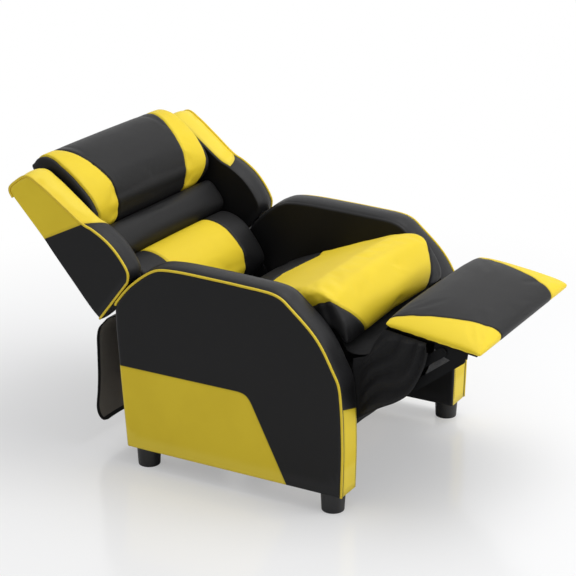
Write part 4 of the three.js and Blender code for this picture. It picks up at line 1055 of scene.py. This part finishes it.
MIDDLE_HALF = 282.0
MIDDLE_SEAM = 268
middle = stuffed("middle", "middle_pad", BACK, rear_held, MIDDLE_HALF, 1.0, 3.0, force=2.5, softening=2)
tailored(middle, BACK, all_black, [lambda own: np.abs(own[:, 0]) - MIDDLE_SEAM], depth=1.5)
carried(middle, "backrest", "black_leather", "middle_pad")

LUMBAR_HALF = 250.0
LUMBAR_SEAM = 146
LUMBAR_STITCHES = 150
LUMBAR_ROW = (8, 178, 70)
lumbar = stuffed("lumbar", "lumbar_roll", BACK, rear_held, LUMBAR_HALF, 4.0, 6.0)
tailored(lumbar, BACK, lambda own: LUMBAR_SEAM - np.abs(own[:, 0]), depth=3.0)
carried(lumbar, "backrest", "yellow_leather", "lumbar_roll")
sew_back("black", skin(lumbar), [(LUMBAR_STITCHES, z) for z in np.linspace(*LUMBAR_ROW)])


# The arms

HALF_CHAIR = 348.5
ARM_INNER = 271.5
ARM_DEPTH = 633
ARM_FOOT = 50
ARM_HEIGHT = 485
# The side outline from the foot's rear end round to its front end, as shares of depth and height
ARM_SHARES = [
    (0.967, 0), (0.98, 0.22), (0.992, 0.439), (1, 0.759), (0.984, 0.794), (0.932, 0.872),
    (0.861, 0.948), (0.821, 0.979), (0.791, 0.992), (0.714, 1), (0.589, 0.998), (0.438, 0.992),
    (0.302, 0.981), (0.262, 0.962), (0.227, 0.926), (0.144, 0.831), (0.101, 0.763), (0.054, 0.654),
    (0.028, 0.584), (0.017, 0.491), (0.008, 0.247), (0.011, 0),
]
# Steps outwards from the inner face, and how far the leather swells there
ARM_ACROSS = [
    (0, -5), (0.7, -2.9), (2, -1.3), (4.4, -0.3), (7.5, 0.7), (12, 2.7), (18, 5), (27, 7), (38.5, 8),
    (50, 7.3), (60, 6), (66, 3.7), (69.4, 1.0), (71, -0.1), (74.2, -3.2), (76.6, -5.6), (77, -6.4),
]
ARM_STITCHES = 9
ARM_STITCH_INSET = 0.3
ARM_STITCH_FOOT = 60
BESIDE_ARM = 60
PIPING_RADIUS = 3.1
PIPING_SINK = 1.1
ARM_PIPING_START = 18
arm_run = run_through([(y * ARM_DEPTH, ARM_FOOT + z * ARM_HEIGHT) for y, z in ARM_SHARES], 6)
arm_ways = outward_ways(arm_run)
for hand, side in HANDS:
    rings = []
    for step, swell in ARM_ACROSS:
        ring = []
        for (y, z), (ny, nz) in zip(arm_run, arm_ways):
            by = swell * max(0.0, nz) if swell > 0 else swell
            ring.append(CHAIR.place(side * (ARM_INNER + step), y + ny * by, z + nz * by))
        rings.append(ring)
    if side < 0:
        rings.reverse()
    arm = lofted(f"arm_pad_{hand}", rings, ARM_LEATHER)
    worn_and_sheen(arm)
    solids = [f"arm_cover_{hand}", f"arm_side_panel_{hand}", f"arm_front_panel_{hand}"]
    carried(arm, "base", "black_leather", *solids)
    surface = skin(arm)
    inner_row = []
    for (y, z), (ny, nz) in zip(arm_run, arm_ways):
        y, z = y - ny * ARM_STITCH_INSET, z - nz * ARM_STITCH_INSET
        if z <= ARM_STITCH_FOOT:
            continue
        start = CHAIR.place(side * (ARM_INNER + ARM_STITCHES), y + ny * BESIDE_ARM, z + nz * BESIDE_ARM)
        place, normal, _, _ = surface.ray_cast(start, Vector((0, -ny, -nz)))
        if place is not None:
            inner_row.append(place + normal * STITCH_LIFT)
    SEWN.setdefault(("base", "black"), []).append(inner_row)
    path = [CHAIR.place(side * (HALF_CHAIR - PIPING_SINK), y - ny * PIPING_SINK, z - nz * PIPING_SINK)
            for (y, z), (ny, nz) in list(zip(arm_run, arm_ways))[ARM_PIPING_START:]]
    cord = tube(f"arm_cord_{hand}", path, PIPING_RADIUS * MM, PIPING)
    carried(cord, "base", "yellow_leather", f"arm_piping_{hand}")


# The wings

WING_INNER = 283.0
WING_WIDTH = 64
WING_DEPTH = 182
WING_HEIGHT = 383
WING_REAR = 42.6
WING_FOOT = 97.4
WING_SPLAY = 0.33
# The side outline from the foot's rear end round to its front end, as shares of depth and height
WING_SHARES = [
    (0, 0), (0.016, 0.088), (0.11, 0.31), (0.207, 0.532), (0.249, 0.614), (0.342, 0.868), (0.37, 0.94),
    (0.402, 0.98), (0.455, 0.998), (0.596, 0.991), (0.803, 0.951), (0.858, 0.847), (0.888, 0.675),
    (0.918, 0.471), (0.965, 0.4), (1, 0.263), (0.959, 0.131), (0.886, 0.047), (0.782, 0.012),
]
WING_ACROSS = [
    (0, -6), (1.2, -4.6), (4, -3), (9, 0), (17, 3), (24, 4.4), (32, 5), (40, 4.4), (47, 3), (53, 1.4),
    (57, 0.3), (58, 0), (60, -2), (62.6, -4.6), (WING_WIDTH, -6.2),
]
WING_PIPING_START = 36
wing_run = run_through([(WING_REAR - y * WING_DEPTH, WING_FOOT + z * WING_HEIGHT) for y, z in WING_SHARES], 6)
wing_ways = outward_ways(wing_run)


def splayed(x, z):
    """The wings spread towards their heads."""
    return WING_INNER + (x - WING_INNER) * (1 + WING_SPLAY * (z - WING_FOOT) / WING_HEIGHT)


for hand, side in HANDS:
    rings = []
    for step, swell in WING_ACROSS:
        ring = []
        for (y, z), (ny, nz) in zip(wing_run, wing_ways):
            py, pz = y + ny * swell, z + nz * swell
            ring.append(BACK.place(side * splayed(WING_INNER + step, pz), py, pz))
        rings.append(ring)
    if side < 0:
        rings.reverse()
    wing = lofted(f"wing_pad_{hand}", rings, WING_LEATHER)
    worn_and_sheen(wing)
    carried(wing, "backrest", "black_leather", f"wing_{hand}")
    around = [(y - ny * PIPING_SINK, z - nz * PIPING_SINK)
              for (y, z), (ny, nz) in list(zip(wing_run, wing_ways))[WING_PIPING_START:-1]]
    # The cord goes on along the wing's foot
    heel, toe = wing_run[0], wing_run[-1]
    around += [toe + (heel - toe) * t + (0, PIPING_SINK) for t in np.linspace(0.02, 0.98, 14)]
    outwards = WING_INNER + WING_WIDTH - PIPING_SINK
    path = [BACK.place(side * splayed(outwards, pz), py, pz) for py, pz in around]
    cord = tube(f"wing_cord_{hand}", path, PIPING_RADIUS * MM, PIPING)
    carried(cord, "backrest", "yellow_leather", f"wing_piping_{hand}")


# The back's rear panel

REAR_HALF = 282.5
REAR_FOOT_HALF = 253.5
REAR_FOOT = -5
REAR_STEP = 108
REAR_TOP = 470
REAR_CENTRE = 235
REAR_SPACING = 12
REAR_CORNERS = [
    (REAR_FOOT_HALF, REAR_FOOT), (REAR_FOOT_HALF, REAR_STEP - 4), (REAR_FOOT_HALF + 3, REAR_STEP),
    (REAR_HALF, REAR_STEP), (REAR_HALF, REAR_TOP - 5), (REAR_HALF - 5, REAR_TOP),
]
# Rings from the hidden side round to the crowned rear: share of the outline, depth under the rear face
REAR_RINGS = [
    (0.3, 6), (0.6, 6), (0.9, 6), (0.985, 6), (1.0, 4.8), (1.0, 1.6), (0.992, 0.6), (0.97, 0.05),
    (0.93, -0.6), (0.85, -1.2), (0.7, -1.6), (0.5, -1.8), (0.3, -1.9), (0.1, -2.0),
]
REAR_SEAM = 190
REAR_SEAM_HEIGHT = 395
SEAM_TO_STITCHES = 4
BEHIND_BACK = 200
UPRIGHT_ROW = (4, 462, 120)
CROSS_ROW = (-270, 270, 140)
outline = [*REAR_CORNERS, *[(-x, z) for x, z in reversed(REAR_CORNERS)]]
dense = []
for (x0, z0), (x1, z1) in zip(outline, [*outline[1:], outline[0]]):
    steps = max(1, int(math.hypot(x1 - x0, z1 - z0) / REAR_SPACING))
    dense += [(x0 + (x1 - x0) * k / steps, z0 + (z1 - z0) * k / steps) for k in range(steps)]
rings = []
for share, depth in REAR_RINGS:
    ring = [(x * share, REAR_CENTRE + (z - REAR_CENTRE) * share) for x, z in dense]
    rings.append([BACK.place(x, rear_face(z) - depth, z) for x, z in ring])
back_panel = closed("back_panel", rings, CUSHION_LEATHER)
finer(back_panel, 2, subdivision_type="SIMPLE")
rear_seams = [lambda own: np.abs(own[:, 0]) - REAR_SEAM, lambda own: own[:, 2] - REAR_SEAM_HEIGHT]
tailored(back_panel, BACK, all_black, rear_seams, depth=0.9, width=3.0, pucker=0.3)
carried(back_panel, "backrest", "black_leather", "back_cover")
surface = skin(back_panel)
beside = REAR_SEAM + SEAM_TO_STITCHES
below = REAR_SEAM_HEIGHT - SEAM_TO_STITCHES
rear_lines = [[(side * beside, z) for z in np.linspace(*UPRIGHT_ROW)] for _, side in HANDS]
rear_lines.append([(x, below) for x in np.linspace(*CROSS_ROW)])
for line in rear_lines:
    sew("backrest", "black", surface, [BACK.place(x, BEHIND_BACK, z) for x, z in line], BACK.way(0, -1, 0))


# Hanging cloth

CLOTH_STEPS = 120


def hung(name, run, half, fold, material, thickness, kept=slice(None), hemmed=False):
    """A sheet along the kept part of a side run, fold(u, v) millimetres off it, and its flat size.

    u goes from -1 to 1 across the sheet, and v from 0 to 1 along the whole run.
    """
    rows = []
    for i, (y, z) in enumerate(run):
        along = run[min(i + 1, len(run) - 1)] - run[max(i - 1, 0)]
        along = along / np.linalg.norm(along)
        v = i / (len(run) - 1)
        width = half(v)
        row = []
        for k in range(CLOTH_STEPS + 1):
            u = 2 * k / CLOTH_STEPS - 1
            by = fold(u, v)
            row.append(CHAIR.place(u * width, y - along[1] * by, z + along[0] * by))
        rows.append(row)
    rows = rows[kept]
    body = sheeted(name, rows, material)
    middle_row = rows[len(rows) // 2]
    across = sum((q - p).length for p, q in zip(middle_row, middle_row[1:]))
    columns = list(zip(*rows))
    down = sum(sum((q - p).length for p, q in zip(column, column[1:])) for column in columns) / len(columns)
    area = sum(p.area for p in body.data.polygons)
    chart = body.data.uv_layers.new(name="weave")
    last = len(rows) - 1
    for loop in body.data.loops:
        r, k = divmod(loop.vertex_index, len(columns))
        chart.data[loop.index].uv = (across * k / CLOTH_STEPS, down * r / last)
    if hemmed:
        write(body, "hem", [min(min(k, CLOTH_STEPS - k) / CLOTH_STEPS * across, (last - r) / last * down) / MM
                            for r in range(len(rows)) for k in range(len(columns))])
    thickened(body, thickness)
    return body, (max(across, area / down), down)


BLACK_CLOTH_THICKNESS = 0.0016
DRAPE_BETWEEN_LINKS = 238
DRAPE_HALF = 268.5
DRAPE_NARROWS = (-8, -24)
SWAG_DEPTH = 7.0
# From the rail up and forwards to the footrest
DRAPE_POINTS = [
    (177.7, 68.5), (177, 61.5), (170, 56), (152.7, 68.5), (104, 128), (53, 192), (12, 223), (-50, 263),
    (-92, 287), (-122, 312), (-146, 352), (-163, 395), (-173, 443),
]
drape_run = run_through(DRAPE_POINTS, 8)


def drape_half(v):
    """In front of the arms the drape narrows to pass between the links."""
    y = drape_run[round(v * (len(drape_run) - 1))][0]
    narrowed = min(1, max(0, (DRAPE_NARROWS[0] - y) / (DRAPE_NARROWS[0] - DRAPE_NARROWS[1])))
    return DRAPE_HALF + (DRAPE_BETWEEN_LINKS - DRAPE_HALF) * narrowed ** 2 * (3 - 2 * narrowed)


def swags(u, v):
    """Slack cloth: curved swags across the middle, and a few gathers from its upper corners."""
    held = math.sin(math.pi * min(1, max(0, v))) ** 0.7
    droop = math.sin(2 * math.pi * (3.1 * v + 0.85 * u * u) + 0.6) * (0.55 + 0.45 * math.cos(math.pi * u))
    pull = math.sin(2 * math.pi * (2.2 * abs(u) - 1.3 * v)) * abs(u)
    crumple = noise.noise(Vector((u * 3.1, v * 4.3, 0.7))) * 1.2
    return SWAG_DEPTH * held * (0.62 * droop + 0.3 * pull + 0.4 * crumple)


# Behind this line the drape stays on the rail, and in front of it the drape swings with the seat
DRAPE_PARTING = 14
parting = next(i for i, place in enumerate(drape_run) if place[0] < DRAPE_PARTING)
DRAPE_ANCHOR = CHAIR.place(0, 175, 52)
DRAPE_PARTS = [("skirt", slice(0, parting + 1), "base", "front_rail"),
               ("skirt_front", slice(parting, None), "seat", "footrest_board")]
for name, kept, by, rest in DRAPE_PARTS:
    cloth, cloth_flat = hung(name, drape_run, drape_half, swags, SKIRT_CLOTH, BLACK_CLOTH_THICKNESS, kept)
    carried(cloth, by, "black_cloth", "front_drape")
    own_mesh(cloth)


def evened(line, count):
    """As many places along a line, evenly spread."""
    line = np.array(line, float)
    along = np.concatenate([[0], np.cumsum(np.linalg.norm(np.diff(line, axis=0), axis=1))])
    return [np.array([np.interp(t, along, line[:, axis]) for axis in (0, 1)])
            for t in np.linspace(0, along[-1], count)]


GUSSET_ROWS = 110
GUSSET_STEPS = 64
GUSSET_TOP = [(25, 369), (-14, 386), (-34, 425), (-57, 457), (-66, 457), (-120, 450), (-162, 444.6)]
GUSSET_ENDS_BEFORE = 3
gusset_foot = evened(drape_run[parting:-GUSSET_ENDS_BEFORE], GUSSET_ROWS + 1)
gusset_top = evened(run_through(GUSSET_TOP, 10), GUSSET_ROWS + 1)
FOLD_PITCH = 37
FOLD_HEIGHT = 5.0
FOLD_MIDDLE = 4.2
GUSSET_STANDS_OUT = 3.2
# The gusset lies flat behind this line, and hangs free from some way ahead of it
GUSSET_FREE_FROM = 3
GUSSET_FREE_OVER = 24
GUSSET_TUCK = 7


def gusset_bulge(y, share, height):
    """How far the gusset's hanging folds stand out, in millimetres."""
    free = min(1, max(0, (GUSSET_FREE_FROM - y) / GUSSET_FREE_OVER))
    up = share * height
    drift = noise.noise(Vector((y * 0.012, up * 0.02, 2.7)))
    fold = math.sin(2 * math.pi * (up / FOLD_PITCH + 0.25 * math.sin(y / 31) + 0.35 * drift))
    held = min(1, (1 - share) / 0.12) * min(1, share / 0.06)
    tucked = max(0, share - 0.86) / 0.14 * GUSSET_TUCK
    return free * (GUSSET_STANDS_OUT + held * (FOLD_MIDDLE + FOLD_HEIGHT * fold * abs(fold) ** 0.3)) - tucked


for hand, side in HANDS:
    rows = []
    for foot, top in zip(gusset_foot, gusset_top):
        height = math.hypot(*(top - foot))
        row = []
        for k in range(GUSSET_STEPS + 1):
            share = k / GUSSET_STEPS
            y, z = foot + (top - foot) * share
            row.append(CHAIR.place(side * (DRAPE_HALF + gusset_bulge(y, share, height)), y, z))
        rows.append(row)
    gusset = sheeted(f"skirt_side_{hand}", rows, SKIRT_CLOTH)
    chart = gusset.data.uv_layers.new(name="weave")
    for loop in gusset.data.loops:
        chart.data[loop.index].uv = gusset.data.vertices[loop.vertex_index].co.yz
    spread = np.ptp(places_of(gusset), axis=0)
    thickened(gusset, BLACK_CLOTH_THICKNESS)
    carried(gusset, "seat", "black_cloth", "front_drape")
    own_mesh(gusset)

SLING_HALF = 233
SLING_RIPPLE_DEPTH = 4.0
SLING_ANCHOR = CHAIR.place(0, 62, 390)
SLING_POINTS = [(68.6, 402), (66, 384), (55, 372), (25, 371), (-14, 388), (-34, 432), (-66, 469)]
sling_run = run_through(SLING_POINTS, 12)


def slack(u, v):
    """Ripples across the sling, strongest where it hangs free."""
    held = math.sin(math.pi * v) ** 0.8
    ripples = math.sin(2 * math.pi * (1.4 * v + 0.7 * u * u + 0.2 * u))
    crumple = 0.6 * noise.noise(Vector((u * 4, v * 5, 3.3)))
    return SLING_RIPPLE_DEPTH * held * (ripples + crumple)


sling, sling_flat = hung("sling", sling_run, lambda v: SLING_HALF, slack, SKIRT_CLOTH, BLACK_CLOTH_THICKNESS)
carried(sling, "seat", "black_cloth", "footrest_sling")
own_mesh(sling)

# The flap's fall as shares of its solid's reach and drop, a little inside the solid
FLAP_SHARES = [
    (0, 0), (0.27, -0.02), (0.5, -0.066), (0.75, -0.125), (0.85, -0.2), (0.86, -0.34), (0.87, -0.54),
    (0.915, -0.68), (1, -0.845), (0.95, -1),
]
FLAP_INSET = 2
FLAP_HALF = 295
FLAP_ROUND = 40
FLAP_THICKNESS = 0.0022
FLAP_WAVE_DEPTH = 3.0
FLAP_CRUMPLE_DEPTH = 1.2
flap_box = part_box("back_flap")
flap_start = np.array([flap_box[0].y / MM + MIDDLE, flap_box[1].z / MM - FLAP_INSET])
flap_reach = (flap_box[1].y - flap_box[0].y) / MM - 2 * FLAP_INSET
flap_drop = (flap_box[1].z - flap_box[0].z) / MM - 2 * FLAP_INSET
flap_run = run_through([flap_start + np.array([y * flap_reach, z * flap_drop]) for y, z in FLAP_SHARES], 12)


def flap_half(v):
    """Half the flap's width, rounded in at its lower corners."""
    above_round = min(FLAP_ROUND, (1 - v) * flap_drop)
    return FLAP_HALF - (FLAP_ROUND - math.sqrt(max(0, FLAP_ROUND ** 2 - (FLAP_ROUND - above_round) ** 2)))


def stiff_waves(u, v):
    """Long waves that grow towards the flap's foot."""
    waves = FLAP_WAVE_DEPTH * v * v * math.cos(2.5 * math.pi * u)
    return waves + FLAP_CRUMPLE_DEPTH * v * noise.noise(Vector((u * 3, v * 3, 8.1)))


flap, flap_flat = hung("rear_flap", flap_run, flap_half, stiff_waves, FLAP_CLOTH, FLAP_THICKNESS, hemmed=True)
carried(flap, "flap", "brown_cloth", "back_flap")


# The legs

LEG_SIDES = 64
LEG_OUTWARDS = 317.5
LEG_PLACES = (("front", 45), ("rear", 565))
# Radius and height, from the glide on the floor up to the arm
LEG_PROFILE = [
    (20, 0.8), (21, 0), (25.4, 0), (26.9, 0.5), (27.5, 1.8), (27.9, 8), (29.9, 47), (29.8, 49),
    (28.6, 49.9), (4, 50),
]
for hand, side in HANDS:
    for end_name, y in LEG_PLACES:
        stand = CHAIR.place(side * LEG_OUTWARDS, y, 0)
        turns = [2 * math.pi * k / LEG_SIDES for k in range(LEG_SIDES)]
        rings = [[stand + Vector((radius * math.cos(turn) * MM, radius * math.sin(turn) * MM, height * MM))
                  for turn in turns] for radius, height in LEG_PROFILE]
        leg = closed(f"foot_{end_name}_{hand}", rings, PLASTIC)
        carried(leg, "base", "black_plastic", f"leg_{end_name}_{hand}")


# Stitches in place

THREADS = {"black": BLACK_THREAD, "yellow": YELLOW_THREAD}
for (body_name, colour), lines in SEWN.items():
    row = stitched(f"stitches_{body_name}_{colour}", lines, THREADS[colour])
    carried(row, body_name, f"{colour}_leather")


# Finishes of the solids that stay

BOLTS = [f"plate_bolt_{end_name}_{hand}" for end_name, _ in LEG_PLACES for hand, _ in HANDS]
KEPT = {
    PLYWOOD: ["arm_frame_left", "arm_frame_right", "front_rail", "rear_rail"],
    GLUED_CLOTH: ["seat_frame", "footrest_board", "back_frame"],
    WEBBING: ["back_webbing"],
    ZINC: ["seat_springs", *BOLTS],
}
finish_of = {node: material for material, nodes in KEPT.items() for node in nodes}
for name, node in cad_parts.items():
    if not node.hide_render:
        for held in node.material_slots:
            held.material = finish_of.get(name, PAINTED)


# Floor, light and camera

# White paper round the chair, and a glossy floor that fades into it
FLOOR_HALF = 20
FLOOR_SHINE_TO = 0.8
FLOOR_PAPER_FROM = 1.9


def floor_finish():
    r = Recipe("studio floor")
    x, y, _ = r.parts(r.place())
    away = (x * x + y * y).math("SQRT")
    seen = r.make("ShaderNodeLightPath", out="Is Camera Ray")
    gloss = {"Base Color": (0.93, 0.93, 0.93), "Roughness": 0.16, "Specular IOR Level": 0.5}
    plain = r.make("ShaderNodeBsdfPrincipled", None, gloss)
    paper = r.make("ShaderNodeEmission")
    share = r.ease(away, FLOOR_SHINE_TO, FLOOR_PAPER_FROM, 0.35, 1.0) * seen
    blend = r.make("ShaderNodeMixShader", None, {0: share, 1: plain, 2: paper})
    r.feed(r.output.inputs["Surface"], blend)
    return r.material


floor_corners = [(FLOOR_HALF * x, FLOOR_HALF * y, 0) for x, y in ((-1, -1), (1, -1), (1, 1), (-1, 1))]
piece("floor", floor_corners, [(0, 1, 2, 3)], floor_finish())

SKY = (0.96, 0.97, 1.0, 1)
SKY_STRENGTH = 0.52


def studio_world():
    """White where the camera or a mirror sees it, and a softer light on everything else."""
    world = bpy.data.worlds.new("studio")
    world.use_nodes = True
    tree = world.node_tree
    tree.nodes.clear()
    rays = tree.nodes.new("ShaderNodeLightPath").outputs

    def make(kind, values, sources):
        node = tree.nodes.new(kind)
        for place, value in enumerate(values):
            node.inputs[place].default_value = value
        for place, source in enumerate(sources):
            tree.links.new(source, node.inputs[place])
        return node

    soft = make("ShaderNodeBackground", (SKY, SKY_STRENGTH), ())
    white = make("ShaderNodeBackground", ((1, 1, 1, 1), 1.0), ())
    direct = make("ShaderNodeMath", (), (rays["Is Camera Ray"], rays["Is Transmission Ray"]))
    seen = make("ShaderNodeMath", (), (direct.outputs[0], rays["Is Glossy Ray"]))
    direct.operation = seen.operation = "MAXIMUM"
    mixer = make("ShaderNodeMixShader", (), (seen.outputs[0], soft.outputs[0], white.outputs[0]))
    make("ShaderNodeOutputWorld", (), (mixer.outputs[0],))
    return world


bpy.context.scene.world = studio_world()


def softbox(name, place, aim, size, power):
    lamp = bpy.data.lights.new(name, "AREA")
    lamp.shape = "RECTANGLE"
    lamp.size, lamp.size_y = size
    lamp.energy = power
    body = linked(name, lamp)
    body.location = place
    body.rotation_euler = (Vector(aim) - Vector(place)).to_track_quat("-Z", "Y").to_euler()


softbox("top softbox", (0.6, -0.9, 3.3), (0.0, 0.0, 0.4), (2.6, 2.6), 62)
softbox("front softbox", (0.9, -3.4, 1.7), (0.0, -0.1, 0.4), (2.0, 1.6), 34)

CAMERA_PLACE = (-3.805979, -2.117012, 1.982656)
CAMERA_YAW = -60.5807
CAMERA_PITCH = 19.8693
FOCAL_PIXELS = 1848.374
PHOTO_WIDTH = 576
SENSOR_WIDTH = 36.0
camera_data = bpy.data.cameras.new("camera")
camera_data.sensor_width = SENSOR_WIDTH
camera_data.lens = FOCAL_PIXELS / PHOTO_WIDTH * SENSOR_WIDTH
camera = linked("camera", camera_data)
yaw = math.radians(CAMERA_YAW)
pitch = math.radians(CAMERA_PITCH)
facing = Vector((-math.sin(yaw) * math.cos(pitch), math.cos(yaw) * math.cos(pitch), -math.sin(pitch)))
camera.location = CAMERA_PLACE
camera.rotation_euler = facing.to_track_quat("-Z", "Y").to_euler()
bpy.context.scene.camera = camera
bpy.context.scene.view_settings.view_transform = "Standard"
